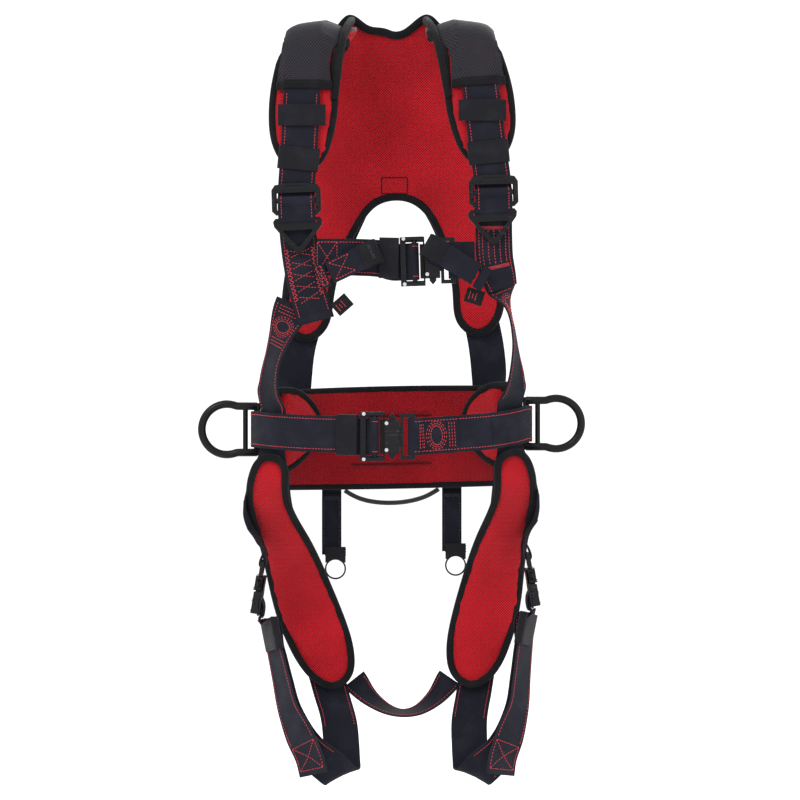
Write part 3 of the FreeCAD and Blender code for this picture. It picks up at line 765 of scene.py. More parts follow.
def swell(obj):
    """Inflates a closed mesh as cloth, with a cap on how far any point may move."""
    rest = [v.co.copy() for v in obj.data.vertices]
    settings = obj.modifiers.new("Cloth", "CLOTH").settings
    settings.use_pressure = True
    settings.uniform_pressure_force = 4.0
    settings.tension_stiffness = 20
    settings.compression_stiffness = 20
    settings.bending_stiffness = 2.0
    settings.effector_weights.gravity = 0.0
    settings.quality = 4
    scene = bpy.context.scene
    for step in range(1, CLOTH_FRAMES + 1):
        scene.frame_set(step)
    apply_modifiers(obj)
    for v, start in zip(obj.data.vertices, rest):
        moved = v.co - start
        if moved.length > SWELL_CAP_M:
            v.co = start + moved * (SWELL_CAP_M / moved.length)
    scene.frame_set(1)


def pad(node, rim, red_side=FORWARD, voxel=REMESH_M, seams=()):
    """A foam pad: remeshed, thinner towards its bound edge, swollen as cloth, then creased along its seams.

    red_side is the direction that the lining faces. Seams are (points, depth, width) in millimetres.
    """
    work = node_mesh(node)
    mesh = bpy.data.meshes.new(node + "_soft")
    work.to_mesh(mesh)
    work.free()
    obj = show(node + "_soft", mesh)
    remesh = obj.modifiers.new("Remesh", "REMESH")
    remesh.mode = "VOXEL"
    remesh.voxel_size = voxel
    apply_modifiers(obj)
    for v in obj.data.vertices:
        _, i, d = rim.tree.find(v.co)
        facing = v.normal.dot(rim.through[i])
        thin = EDGE_THIN_M * (1 - smooth(d / EDGE_REACH_M)) * abs(facing)
        pull = EDGE_PULL_M * (1 - abs(facing))
        v.co -= v.normal * (thin + pull + SHRINK_M)
    swell(obj)
    divide = obj.modifiers.new("Smooth", "SUBSURF")
    divide.levels = 1
    divide.render_levels = 1
    apply_modifiers(obj)
    lines = [([Vector(p) * MM for p in points], depth * MM, width * MM) for points, depth, width in seams]
    moves = []
    for v in obj.data.vertices:
        push = BROAD_CRUMPLE_M * noise.noise(v.co * 60.0) + FINE_CRUMPLE_M * noise.noise(v.co * 160.0)
        for points, depth, width in lines:
            d = min(segment_distance(v.co, a, b) for a, b in zip(points, points[1:]))
            if d < 4 * width:
                push -= depth * math.exp(-(d / width) ** 2)
        moves.append(v.normal * push)
    for v, move in zip(obj.data.vertices, moves):
        v.co += move
    obj.data.materials.clear()
    obj.data.materials.append(M["lining"])
    obj.data.materials.append(M["outer"])
    for polygon in obj.data.polygons:
        polygon.use_smooth = True
        polygon.material_index = 0 if polygon.normal.dot(red_side) > -0.05 else 1
    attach(obj, ROOT)
    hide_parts(node)
    return obj


def surface(pieces):
    """The faces of some pieces, to cast rays at."""
    points, polygons = [], []
    for obj in pieces:
        first = len(points)
        points += [v.co for v in obj.data.vertices]
        polygons += [[first + v for v in p.vertices] for p in obj.data.polygons]
    return BVHTree.FromPolygons(points, polygons)


def seam_shade_line(name, soft, corners):
    """Painted shade of a sunken seam on the front of a pad: a thin dark tube along (x, z) corners."""
    tree = surface([soft])
    path = []
    for one, two in zip(corners, corners[1:]):
        count = max(1, round(math.dist(one, two) / 2.5))
        for k in range(count + (two == corners[-1])):
            x, z = (one[i] + (two[i] - one[i]) * k / count for i in (0, 1))
            hit = tree.ray_cast(Vector((x, -200, z)) * MM, BACKWARD)
            path.append(hit[0] / MM + Vector((0, 0.3, 0)))
    tube(name, path, 0.9, 0.9, "slit", Vector((0.3, 0, 1)))


# ---------------------------------------------------------------- pads of this harness
BACK_CREASES = [([(-78, 90, -70), (-35, 90, -58), (-5, 90, -66), (40, 90, -58), (75, 90, -74)], 3.0, 6.0),
                ([(-22, 92, -40), (-60, 90, -62)], 2.0, 5.0),
                ([(-130, 99, -170), (-70, 99, -190), (-30, 99, -196), (30, 99, -196), (75, 99, -190),
                  (130, 99, -165)], 2.6, 6.0),
                ([(-66, 98, -286), (-100, 96, -292), (-130, 96, -300)], 1.4, 3.0),
                ([(66, 98, -286), (100, 96, -292), (132, 96, -296)], 1.4, 3.0)]
# Corners of a sewn patch on the back pad, outlined with a dark tube of painted seam shade.
BACK_PATCH = [(-13, -186), (20, -186), (20, -206), (-13, -206), (-13, -186)]
LEG_CREASE = [(175, 5, -645), (120, 25, -672), (80, 38, -700)]
LARGE_REMESH_M = 0.0052
SHOULDER_PADS = {}
# Edge of a shoulder pad beside the neck, up to the crest of the back pad.
NECK_EDGE = [(70, -88, -102), (66.5, -83, -78), (62, -70, -48), (57, -50, -22), (52, -24, -6), (48.5, 6, 3),
             (47, 32, 8), (48, 56, 12)]
# Curved edge of a hip pad as (x, z), and two (x, y) places of the slanted plane it lies in.
HIP_EDGE = [(150, -455), (138, -455), (124, -456), (107, -468), (95, -490), (95, -512), (108, -533),
            (128, -551), (140, -556), (150, -557)]
HIP_NEAR = (140.0, -1.0)
HIP_FAR = (88.0, 56.0)


def make_pads():
    rim = Rim("back_pad", rounds=3)
    soft = pad("back_pad", rim, seams=BACK_CREASES, voxel=LARGE_REMESH_M)
    seam_shade_line("back_pad_patch", soft, BACK_PATCH)
    binding("back_pad_binding", rim, half_width=5.2)
    for name, side in SIDES.items():
        rim = Rim("shoulder_pad_" + name)
        SHOULDER_PADS[name] = pad("shoulder_pad_" + name, rim, Vector((0, -0.86, -0.5)))
        binding("shoulder_pad_binding_" + name, rim)
        neck = spline(sided([(point, UP) for point in NECK_EDGE], side), 4.0)
        tube("neck_binding_" + name, [centre for _, centre, _ in neck], 4.8, 4.8, "binding", RIGHT)
        pad("hip_pad_" + name, Rim("hip_pad_" + name))
        hip_binding(name, side)
        rim = Rim("leg_pad_" + name)
        crease = [hung((side * x, y, z)) for x, y, z in LEG_CREASE]
        pad("leg_pad_" + name, rim, seams=[(crease, 3.0, 4.5)], voxel=LARGE_REMESH_M)
        binding("leg_pad_binding_" + name, rim)
    waist()


def hip_binding(name, side):
    """Folded tape along the curved edge of a hip pad."""
    slant = (HIP_FAR[1] - HIP_NEAR[1]) / (HIP_NEAR[0] - HIP_FAR[0])
    through = Vector((side * slant, 1, 0)).normalized()
    stations = [(hung((side * x, HIP_NEAR[1] + (HIP_NEAR[0] - x) * slant, z)), through) for x, z in HIP_EDGE]
    path = [centre for _, centre, _ in spline(stations, 4.0)]
    tube("hip_pad_binding_" + name, path, 6.4, 4.6, "binding", through)


BELT_ROLL = between(ROLL, -505)
WAIST_Y = 4.0
WAIST_A, WAIST_B = 153.0, 97.0      # half axes of the waist pad's middle line
WAIST_HALF = 64.0                   # half height
WAIST_CROWN = 5.6                   # half thickness at the middle
WAIST_Z = -518.0
WAIST_ENDS = (-4.0, 184.0)          # degrees round the back, from the right hip to the left
WAIST_STEPS = 120
WAIST_EDGE = WAIST_HALF - 3.6       # height of its edge tape
SLIT_HALF = 55.0                    # half length of the sewn slits in its lining
SLIT_PLACES = (27.0, -33.0)
PER_DEGREE = 2.65                   # length of a degree of the waist pad, at the middle of the back


def waist_point(degrees, height, out):
    """A place on the waist pad: angle round it, height from its middle, distance outwards."""
    t = math.radians(degrees)
    height *= 1.0 + 0.05 * (max(0.0, math.sin(t)) ** 2 - 0.6)
    normal = Vector((math.cos(t) / WAIST_A, math.sin(t) / WAIST_B, 0)).normalized()
    x = WAIST_A * math.cos(t)
    return Vector((x, WAIST_Y + WAIST_B * math.sin(t), WAIST_Z + BELT_ROLL * x + height)) + normal * out


def slit_depth(x, height):
    """How far the waist pad's lining sinks at its slits, and rises beside them."""
    depth = 0.0
    for place in SLIT_PLACES:
        away = height - place
        dip = 3.4 * math.exp(-(away / 2.4) ** 2) - 1.3 * math.exp(-((abs(away) - 6) / 3) ** 2)
        depth += smooth((SLIT_HALF - abs(x)) / 5) * dip
    return depth


def waist():
    """The wide belt pad: a crowned slab round the back, with two sewn slits on its lining."""
    first, last = WAIST_ENDS
    heights = [math.sin(math.pi / 2 * (k / 30 - 1) * 0.96) for k in range(61)]
    section = [(h, way * max(0.0, 1 - abs(h) ** 10) ** 0.5) for way in (-1, 1) for h in heights[::-way]]
    vertices = []
    for i in range(WAIST_STEPS + 1):
        angle = first + (last - first) * i / WAIST_STEPS
        taper = math.sqrt(max(0.02, 1 - (1 - min(1.0, min(i, WAIST_STEPS - i) / 5.0)) ** 2))
        for height, depth in section:
            out = WAIST_CROWN * depth * taper
            h = height * (WAIST_HALF - 7 * (1 - taper))
            if depth < 0:
                out += slit_depth(waist_point(angle, h, 0).x, h)
            out += 0.35 * noise.noise(waist_point(angle, h, out) * 0.05)
            vertices.append(waist_point(angle, h, out))
    # The waist pad's lining is the darker copy of the red lining, as painted shade.
    obj = piece("waist_pad_soft", vertices, skin(WAIST_STEPS + 1, len(section)), "lining_painted_shade")
    recalculate(obj)
    obj.data.materials.append(M["outer"])
    for polygon in obj.data.polygons:
        c = polygon.center / MM
        outward = Vector((c.x / WAIST_A ** 2, (c.y - WAIST_Y) / WAIST_B ** 2, 0)).normalized()
        polygon.material_index = 1 if polygon.normal.dot(outward) > 0.05 else 0
    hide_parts("waist_pad")
    for n, place in enumerate(SLIT_PLACES):
        # A thin dark tube along each slit: painted shade at the bottom of the slit.
        path = [waist_point(90 + SLIT_HALF * k / 24 / PER_DEGREE, place, -3.4) for k in range(-24, 25)]
        tube("waist_pad_slit_%d" % n, path, 1.0, 1.3, "slit", UP)
        for height in (place - 5, place + 5):
            for k in range(28):
                angle = 90 + 21.5 * (2 * k / 27 - 1)
                point = waist_point(angle, height, -6.4)
                ahead = (waist_point(angle + 1, height, -6.4) - point).normalized()
                normal = (waist_point(angle, height, -7) - point).normalized()
                add_stitch(ROOT, "lining_thread", point, ahead, normal)
    for edge, way in (("low", -1), ("top", 1)):
        path = [waist_point(first + 1 + (last - first - 2) * i / 70, way * WAIST_EDGE, 0) for i in range(71)]
        tube("waist_pad_binding_" + edge, path, 4.4, 5.2, "binding", UP)
    for end, angle in (("left", last - 1.2), ("right", first + 1.2)):
        path = [waist_point(angle, WAIST_EDGE * k / 10, 0) for k in range(-10, 11)]
        out = waist_point(angle, 0, 1) - waist_point(angle, 0, 0)
        tube("waist_pad_binding_end_" + end, path, 4.4, 5.2, "binding", out.cross(UP))


# ---------------------------------------------------------------- webbing routes
SHOULDER = [((121, -102, -240), (1, 0, 0)), ((119, -102.4, -203), (1, 0, 0)),
            ((115, -102.6, -165), (1, 0, 0)), ((110, -97.5, -105), (1, 0, 0)),
            ((107, -88, -60), (1, 0, 0)), ((105, -68, -31), (1, 0, -0.12)),
            ((103, -38, -13), (1, 0, -0.12)), ((101, -6, -6.6), (1, 0, -0.12)),
            ((99, 26, -5), (1, 0, -0.12)), ((97, 48, -4), (1, 0, -0.12)), ((95, 67, -7), (1, 0.05, -0.15)),
            ((92, 81, -25), (1, 0, -0.05)), ((86, 91.5, -56), (1, 0, 0.1)),
            ((74, 99.5, -98), (1, 0, 0.35)), ((52, 105, -130), (1, 0, 0.6))]
COVER = [((108, -104, -84), (1, 0, -0.12)), ((107, -96, -54), (1, 0, -0.12)),
         ((105, -76, -27), (1, 0, -0.12)), ((103, -44, -7), (1, 0, -0.12)),
         ((101, -8, -2.5), (1, 0, -0.12)), ((100, 20, -1.5), (1, 0, -0.12))]
FRONT = {
    "left": [((-115, -99, -243), (1, 0, 0)), ((-113, -98.5, -275), (1, 0, -0.1)),
             ((-106, -98, -321), (1, 0, -0.2)), ((-92, -97, -372), (1, 0, -0.25))],
    "right": [((125, -99, -232), (1, 0, 0)), ((125, -98.5, -270), (1, 0, 0.05)),
              ((127, -98, -302), (1, 0.1, -0.2)), ((136, -96, -334), (0.8, 0.5, -0.35))],
}
LEG_TOP = {
    "left": [((-119, -90.5, -352), (0.86, 0.05, -0.5)), ((-136, -88.5, -392), (0.6, -0.75, -0.25)),
             ((-147, -82, -428), (0.45, -0.88, 0)), ((-150, -66, -458), (0.5, -0.86, 0)),
             ((-146.5, -48, -481), (0.69, -0.72, 0)), ((-146, -45, -509), (0.69, -0.72, 0))],
    "right": [((131.4, -93.6, -322), (0.88, 0.35, -0.29)), ((134.6, -92.8, -334), (0.8, 0.5, -0.35)),
              ((142, -91, -354), (0.25, 0.93, -0.2)), ((150, -86, -392), (0.12, 0.99, 0)),
              ((152, -78, -428), (0.3, 0.95, 0)), ((151, -64, -454), (0.5, 0.86, 0)),
              ((146.5, -48, -474), (0.69, 0.72, 0)), ((146, -45, -502), (0.69, 0.72, 0))],
}
LEG_DOWN = [((147, -40, -536), (0.75, 0.66, 0)), ((149, -34, -560), (1, 0.05, 0)),
            ((147, -14, -592), (1, 0, 0)), ((141, 14, -634), (1, 0, 0.1)), ((132, 42, -679), (1, 0, 0.2)),
            ((122, 58.5, -722), (1, 0, 0.25)), ((111, 64, -761), (1, 0, 0.3)),
            ((99, 59, -802), (1, 0, 0.3)), ((90, 44, -840), (1, 0, 0.25)), ((82, 20, -872), (1, 0, 0.15)),
            ((80, -5, -902), (1, 0, -0.15))]
LEG_UP = [((103, -43, -917), (0.85, 0.1, -0.55)), ((116, -46, -904), (0.9, 0.35, -0.4)),
          ((128, -45, -884), (0.8, 0.6, -0.3)), ((139, -40, -852), (0.6, 0.8, -0.2)),
          ((146, -37, -812), (0.5, 0.86, -0.15)), ((152, -34, -776), (0.45, 0.9, -0.1)),
          ((160, -30, -738), (0.35, 0.93, -0.1))]
LEG_TAIL = [((161.5, -35, -748), (0.35, 0.93, -0.1)), ((155.2, -36, -776), (0.45, 0.9, -0.1)),
            ((149.2, -39, -812), (0.5, 0.86, -0.15)), ((142.2, -42.6, -852), (0.6, 0.8, -0.2)),
            ((129, -51.5, -886), (0.8, 0.6, -0.25)), ((119, -54.5, -912), (0.78, 0.6, -0.2)),
            ((115, -56, -932), (0.78, 0.6, -0.2))]
FOLD_CENTRE = Vector((85, -27, -926))
FOLD_LINE = Vector((0.908, 0, -0.419))
FOLD_R = 10.5
FOLD_SLANT = 0.35
BACK = [((34, 106.5, -172), (1, 0, -0.5)), ((50, 107, -208), (1, 0, -0.45)),
        ((66, 106, -240), (1, 0, -0.4)), ((92, 103.5, -300), (1, 0, -0.3)),
        ((110, 97, -360), (1, 0, -0.15)), ((120, 91, -400), (1, 0, -0.1)),
        ((124, 84.5, -438), (0.97, -0.2, 0)), ((124, 79, -457), (0.9, -0.43, 0)),
        ((123.2, 75.4, -473), (0.85, -0.53, 0)), ((122.6, 74.9, -488), (0.85, -0.53, 0))]
CHEST = [(-92, -101.5, -296), (-70, -103, -296), (-40, -103.5, -296.3), (-10, -102.5, -298.5)]
SEAT = [((-48, 60, -824), (0.5, 0.2, 1)), ((-30, 55, -845), (0.5, 0.9, 0.6)),
        ((-6, 50, -861), (0.2, 1, 0.3)), ((14, 49, -866), (0, 1, 0.2)), ((34, 50, -862), (-0.2, 1, 0.3)),
        ((56, 55, -846), (-0.5, 0.9, 0.6)), ((74, 60, -822), (-0.5, 0.2, 1))]
GEAR_ROUTE = [(-60, 101, -586), (-50, 103, -593), (-30, 104, -600), (-3, 104, -602.5), (24, 104, -600),
              (48, 103, -592.5), (60, 101, -584)]


def leg_fold():
    """Stations where the webbing rolls round the slanted bottom of the leg loop."""
    down = Vector((FOLD_LINE.z, 0, -FOLD_LINE.x))
    stations = []
    for step in range(9):
        t = math.pi * step / 8
        radial = BACKWARD * math.cos(t) + down * math.sin(t)
        around = FORWARD * math.sin(t) + down * math.cos(t)
        drift = FOLD_LINE * (FOLD_SLANT * FOLD_R * (t - math.pi / 2))
        stations.append((FOLD_CENTRE + radial * FOLD_R + drift, FOLD_LINE - around * FOLD_SLANT))
    return stations


class Axes:
    """Local axes: x along, y up, z outwards."""

    def __init__(self, origin, along, up):
        self.origin = Vector(origin)
        self.along = Vector(along).normalized()
        self.up = square_to(Vector(up), self.along)
        self.out = self.along.cross(self.up)

    def point(self, x, y, z):
        return self.origin + self.along * x + self.up * y + self.out * z

    def stations(self, route):
        """Stations of a strap whose width lies up, from (x, z) places."""
        return [(self.point(x, 0, z), self.up) for x, z in route]

    def level_stations(self, route):
        """Stations of a strap whose width lies along, from (y, z) places."""
        return [(self.point(0, y, z), self.along) for y, z in route]


# Each buckle: mouth of the housing, direction towards the tongue, direction across the webbing.
BUCKLES = {"chest": Axes((59, -101, -300.5), (1, 0, 0.03), (-0.05, 0, 1)),
           "waist": Axes((10, -98.5, -514.5), (1, 0, 0), (0, 0, 1)),
           "leg_left": Axes(hung((-160, -32, -684)), (0.17, 0, 0.985), (0, 1, 0)),
           "leg_right": Axes(hung((160, -32, -684)), (-0.17, 0, 0.985), (0, -1, 0))}
# Webbing under a buckle's end, round its slide bar and back under itself, as (x, z).
BUCKLE_END = [(-56, -1.5), (-47, -1.5), (-40, -1.0), (-36.0, 2.0), (-34.8, 6.2), (-33.4, 9.4), (-30.5, 10.6),
              (-27.6, 9.4), (-26.2, 6.2), (-27.4, 2.0), (-32, -1.6), (-40, -4.1), (-50, -4.3)]
SLIDE_BAR = (-30.5, 6.4)
SLIDE_BAR_R = 5.4
# Webbing round a tongue's bar, as (x, z).
TONGUE_BAR = [(15.0, 3.2), (11.2, 5.2), (11.0, 7.6), (14.0, 10.2), (19.5, 10.2)]
# Webbing from the outer edge of the right leg pad towards its buckle.
PAD_TO_TONGUE = [((179.5, -38, -580), (0.1, -0.8, -0.6)), ((180.5, -26, -598), (0.08, -0.8, -0.6)),
                 ((175.5, -18, -622), (0.05, -0.9, -0.4)), ((166.5, -26, -643), (0, -1, -0.1))]
# Webbing round an adjuster's bar and the wrap round a triangular ring, as (y, z).
ADJUSTER_ROUTE = [(-30, 1.2), (-25, 3.8), (-19, 4.9), (-13, 5.0), (-7.5, 7.6), (-4.6, 11.0), (-1.8, 12.0),
                  (1.4, 10.8), (2.5, 7.6), (1.2, 4.4), (-3, 1.6), (-12, -1.2), (-26, -1.4)]
TRIANGLE_WRAP = [(2.4, -2.0), (2.4, 2.5), (2.6, 6.2), (5.0, 7.2), (7.8, 6.4), (8.4, 2.5), (8.0, -1.2),
                 (5.6, -2.3), (2.4, -2.0)]
# Each sternal loop: its root, its tip and the direction across its webbing.
STERNAL = {"left": ((-76, -112.5, -316), (-20, -119, -290), (0.4, 0, 0.9)),
           "right": ((104, -118, -318), (46, -126, -284), (-0.45, 0, 0.9))}


def buckle_floor(name, axes):
    """Moulded floor of a buckle's housing, behind the tongue's blade."""
    corners = [(-24, -21), (-24, 21), (0, 21), (0, -21)]
    vertices = [axes.point(x, y, z) for z in (1.0, 2.6) for x, y in corners]
    faces = [(3, 2, 1, 0), (4, 5, 6, 7), (0, 1, 5, 4), (1, 2, 6, 5), (2, 3, 7, 6), (3, 0, 4, 7)]
    recalculate(piece("buckle_floor_" + name, vertices, faces, "plastic", shade=False))


def slide_bar_stitches(axes):
    """Stitches that show where webbing turns over a slide bar."""
    x, z = SLIDE_BAR
    for y in (-18.3, 18.3):
        for t in (55, 80, 105):
            normal = axes.along * math.cos(math.radians(t)) + axes.out * math.sin(math.radians(t))
            point = axes.point(x, y, z) + normal * SLIDE_BAR_R
            along = normal.cross(axes.up).normalized()
            add_stitch(ROOT, "red_thread", point, along, normal, STITCH_LENGTH * 0.8)


# ---------------------------------------------------------------- webbing pieces
def towards(strap, share=0.5, way=FORWARD):
    """1 or -1: the side of a strap that faces a direction at a share of its length."""
    normal = strap.rings[int((len(strap.rings) - 1) * share)][4]
    return 1 if normal.dot(way) > 0 else -1


DRAPE_RAY = 30              # rays start this far above the frame
DRAPE_REACH = 64            # and end after this length
DRAPE_WIDEST = 44
DRAPE_COLUMNS = 24


def drape(cover, under, out, edge):
    """Rows of points for a sheet pulled over other pieces.

    Rays along the cover frame's normals find what lies below, out to edge short of the first piece's rim.
    """
    lowest, everything = surface(under[:1]), surface(under)

    def height(tree, ring, a):
        start = (ring[1] + ring[3] * a + ring[4] * (out * DRAPE_RAY)) * MM
        hit = tree.ray_cast(start, ring[4] * -out, DRAPE_REACH * MM)
        return DRAPE_RAY - hit[3] / MM if hit[0] else None

    rows = []
    last = DRAPE_COLUMNS
    for ring in cover.rings:
        reach = []
        for way in (-1, 1):
            a = 0
            while a < DRAPE_WIDEST and height(lowest, ring, way * (a + 1)) is not None:
                a += 1
            reach.append(way * (a - edge))
        places = [reach[0] + (reach[1] - reach[0]) * k / last for k in range(last + 1)]
        heights = [height(everything, ring, a) or 0.0 for a in places]
        for _ in range(12):
            nearby = zip([heights[0]] + heights[:-1], heights, heights[1:] + [heights[-1]])
            heights = [max(h, (before + after) / 2) for before, h, after in nearby]
        loft = 6.5 * smooth((ring[1].z + 45) / 40)
        row = []
        for k, (a, h) in enumerate(zip(places, heights)):
            lift = 1.2 + loft * (1 - (2 * k / last - 1) ** 4)
            row.append(ring[1] + ring[3] * a + ring[4] * (out * (h + lift)))
        rows.append(row)
    return rows


def shoulder_panel(name, side, under):
    """The dark mesh panel over a shoulder pad and its strap, sewn down from binding to binding."""
    cover = Strap("", sided(COVER, side), 58.0, 1.5, None, step=5.0)
    out = towards(cover, 0.1)
    rows = drape(cover, under, out, 2.5)
    vertices, uvs, faces = [], [], []
    for layer in (0.0, -1.2):
        for ring, row in zip(cover.rings, rows):
            for point in row:
                vertices.append(point + ring[4] * (out * layer))
                uvs.append(((point - ring[1]).dot(ring[3]) * MM, ring[0] * MM))
    wide, count = len(rows[0]), len(rows) * len(rows[0])
    for i in range(0, count - wide, wide):
        for k in range(i, i + wide - 1):
            quad = (k, k + 1, k + 1 + wide, k + wide)
            faces.append(quad)
            faces.append(tuple(count + v for v in reversed(quad)))
    border = list(range(wide - 1)) + list(range(wide - 1, count - 1, wide))
    border += list(range(count - 1, count - wide, -1)) + list(range(count - wide, 0, -wide))
    for one, two in zip(border, border[1:] + border[:1]):
        faces.append((one, count + one, count + two, two))
    panel = piece("shoulder_panel_" + name, vertices, faces, "mesh", ROOT, uvs)
    recalculate(panel)
    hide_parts("shoulder_cover_" + name)
    for end, i in (("low", 1), ("top", -2)):
        tube("shoulder_panel_binding_%s_%s" % (end, name), rows[i], 6.0, 1.5, "binding", cover.rings[i][2])


def shoulder_straps(name, side):
    strap = Strap("shoulder_webbing_" + name, sided(SHOULDER, side))
    outer = towards(strap, 0.05)
    strap.edge_rows(outer, 2, 150)
    strap.edge_rows(outer, 285, strap.length - 4)
    strap.box_x(strap.length - 42, strap.length - 6, outer)
    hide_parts("shoulder_strap_" + name)
    shoulder_panel(name, side, [SHOULDER_PADS[name], strap.obj])
    axes = Axes(hung((side * 120, -105, -221)), (1, 0, 0.03), (-0.03, 0, 1))
    loop = Strap("adjuster_webbing_" + name, axes.level_stations(ADJUSTER_ROUTE), body=None, step=2.0)
    start, end = metres(axes.point(0, -7, 6)), metres(axes.point(0, -20, 6))
    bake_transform(loop.obj)
    bend = ("adjuster_" + name, "adjuster_bar_" + name, ROOT, start, end)
    face = towards(loop, 0.2)
    for a in (-1, 1):
        for along in range(10, 42, 4):
            add_stitch(bend, "red_thread", *loop.at(along, a * (WEBBING / 2 - EDGE_ROW), face))
    centre = hung((side * 110, -105.3, -120))
    band = [(centre + Vector((a, 0.9 * (abs(a) / 27) ** 4, 0)), UP) for a in (-29, -27, -14, 0, 14, 27, 29)]
    Strap("keeper_flat_" + name, band, 26, 1.4, "elastic")


def front_straps(name, side):
    strap = Strap("front_webbing_" + name, FRONT[name])
    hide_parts("front_strap_" + name)
    s = towards(strap)
    strap.edge_rows(s, 4)
    if name == "left":
        for across in (-15.5, 15.5):
            strap.zigzag(42, 104, across, s)
        for along in (44, 58, 72, 86, 100):
            strap.cross(along, along + 8, 12, s)
        _, centre, tangent, across, _ = strap.rings[-1]
        fold = Axes(centre, tangent, across)
        wrap = [(-8, 0.6), (-1, 1.6), (1.5, 0), (-1, -1.6), (-10, -1.4)]
        Strap("front_fold_left", fold.stations(wrap), WEBBING, 1.8, step=1.5)
    else:
        for across in (-14, -7, 0, 7, 14):
            strap.sew([(30, across), (72, across)], s)
        strap.bar_tack(28, 16, s)
        strap.bar_tack(76, 16, s)
    triangle = Axes(hung((side * 118.5, -103, -250)), (1, 0, 0.05), (-0.16, 0, 1))
    Strap("triangle_wrap_" + name, triangle.level_stations(TRIANGLE_WRAP), WEBBING - 0.8, 1.8,
          body="triangle_ring_" + name, step=1.5)


def leg_straps(name, side):
    axes = BUCKLES["leg_" + name]
    path = LEG_TOP[name] + sided(LEG_DOWN, side) + sided(leg_fold(), side) + sided(LEG_UP, side)
    way = 1 if axes.up.dot(path[-1][1]) > 0 else -1
    path += [(place, across * way) for place, across in axes.stations(BUCKLE_END)]
    strap = Strap("leg_webbing_" + name, path, step=3.0)
    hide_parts("leg_strap_" + name)
    s = towards(strap, 0.03)
    strap.edge_rows(s, 6, 150)
    strap.bars((8, 12, 16, 48, 52, 56), 15, s)
    strap.ovals(32, 12.5, 16, s)
    fold_at = strap.length * 0.60
    strap.edge_rows(towards(strap, 0.62), fold_at - 110, fold_at + 10)
    strap.edge_rows(towards(strap, 0.8), strap.length * 0.72, strap.length - 60)
    tail = Strap("leg_tail_" + name, sided(LEG_TAIL, side), material="webbing_grey")
    s = towards(tail, 0.9)
    tail.box_x(tail.length - 40, tail.length - 7, s)
    tail.edge_rows(s, 4, tail.length - 44)
    slide_bar_stitches(axes)
    pad_end = sided(PAD_TO_TONGUE, side)
    path = pad_end + axes.stations([(26, 5.0), (20, 3.4)] + TONGUE_BAR + [(25, 9.0), (32, 6.6)])
    short = Strap("leg_tongue_webbing_" + name, path, 43.0, body=None, step=2.5)
    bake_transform(short.obj, "leg_%s_buckle_tongue" % name, ROOT, start=metres(axes.point(24, 0, 5)),
             end=metres(pad_end[1][0]))


def tongue_loop(axes, rest):
    """Stations in along the back, round a tongue's bar and out along the front; rest is (x, y, z) places."""
    back = [(axes.point(*place), axes.up) for place in reversed(rest)]
    front = [(axes.point(x, y, z + 2.5), axes.up) for x, y, z in rest]
    return back + axes.stations([(22, 3.6)] + TONGUE_BAR + [(26, 8.0)]) + front


def chest_straps():
    axes = BUCKLES["chest"]
    path = [(place, UP) for place in CHEST]
    strap = Strap("chest_webbing_left", path + axes.stations(BUCKLE_END), step=3.0)
    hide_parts("chest_strap_left")
    s = towards(strap, 0.2)
    strap.edge_rows(s, 2, 96)
    strap.box_x(2, 26, s)
    slide_bar_stitches(axes)
    path = tongue_loop(axes, [(27, 0, 2.4), (34, 0, 0.6), (43, 0, -0.6)])
    strap = Strap("chest_webbing_right", path, body=None, step=2.0)
    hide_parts("chest_strap_right")
    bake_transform(strap.obj, "chest_buckle_tongue", ROOT, start=metres(axes.point(23, 0, 5)),
             end=metres(axes.point(41, 0, 0)))


BELT_A, BELT_B = 175.0, 108.0       # half axes of the belt's loop
BELT_SIDE_Z, BELT_FRONT_Z = -503.0, -513.0


def belt_at(t):
    """A point of the belt's loop at an angle in radians, from the right side and round the back."""
    x = BELT_A * math.cos(t)
    z = BELT_SIDE_Z + BELT_ROLL * x
    if math.sin(t) < -0.3:
        z += (BELT_FRONT_Z - z) * (-0.3 - math.sin(t)) / 0.7
    return Vector((x, WAIST_Y + BELT_B * math.sin(t), z))


def belt():
    axes = BUCKLES["waist"]
    first, last = -math.acos(84 / BELT_A), math.pi + math.acos(62 / BELT_A)
    stations = [(belt_at(first + (last - first) * i / 48), UP) for i in range(49)]
    strap = Strap("belt_webbing", stations + axes.stations(BUCKLE_END))
    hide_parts("waist_belt")
    strap.edge_rows(towards(strap, 0.4, BACKWARD), 4, strap.length - 70)
    slide_bar_stitches(axes)
    rest = [(27, 0.4, 2.9), (36, 0.9, 1.4), (50, 1.8, -1.4), (62, 2.6, -4.6), (74, 3.4, -8.0)]
    tongue = Strap("belt_webbing_end", tongue_loop(axes, rest), body=None, step=2.5)
    start, end = metres(axes.point(21, 0, 5)), metres(axes.point(34, 0, 0))
    tongue.body = ("belt_end", "waist_buckle_tongue", ROOT, start, end)
    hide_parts("waist_belt_end")
    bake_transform(tongue.obj)
    s = towards(tongue, 0.85)
    tip = tongue.length
    tongue.edge_rows(s, tip - 60, tip - 2)
    tongue.bars([tip - along for along in (7, 10.5, 14, 46, 49.5, 53)], 15.5, s)
    tongue.ovals(tip - 30, 12.5, 17, s)
    patch = [(belt_at(-math.acos(x / BELT_A)) + FORWARD * 2.3, UP) for x in (83, 90, 100, 112, 122)]
    overlap = Strap("belt_overlap", patch, step=3.0)
    overlap.edge_rows(towards(overlap))
    strap.edge_rows(towards(strap, 0.02), 0, 110)


def elastic_loop(name, centre, strap_way, across_way, half_width, half_gap, length):
    """Elastic band round a strap that runs through it along strap_way."""
    along = Vector(strap_way).normalized()
    across = square_to(Vector(across_way), along)
    out = along.cross(across)
    stations = []
    for k in range(29):
        t = 2 * math.pi * k / 28
        a = bulge(math.cos(t), 0.25) * half_width
        b = bulge(math.sin(t), 0.55) * half_gap
        stations.append((centre + across * a + out * b, along))
    return Strap(name, stations, length, 1.3, "elastic", step=3.0)


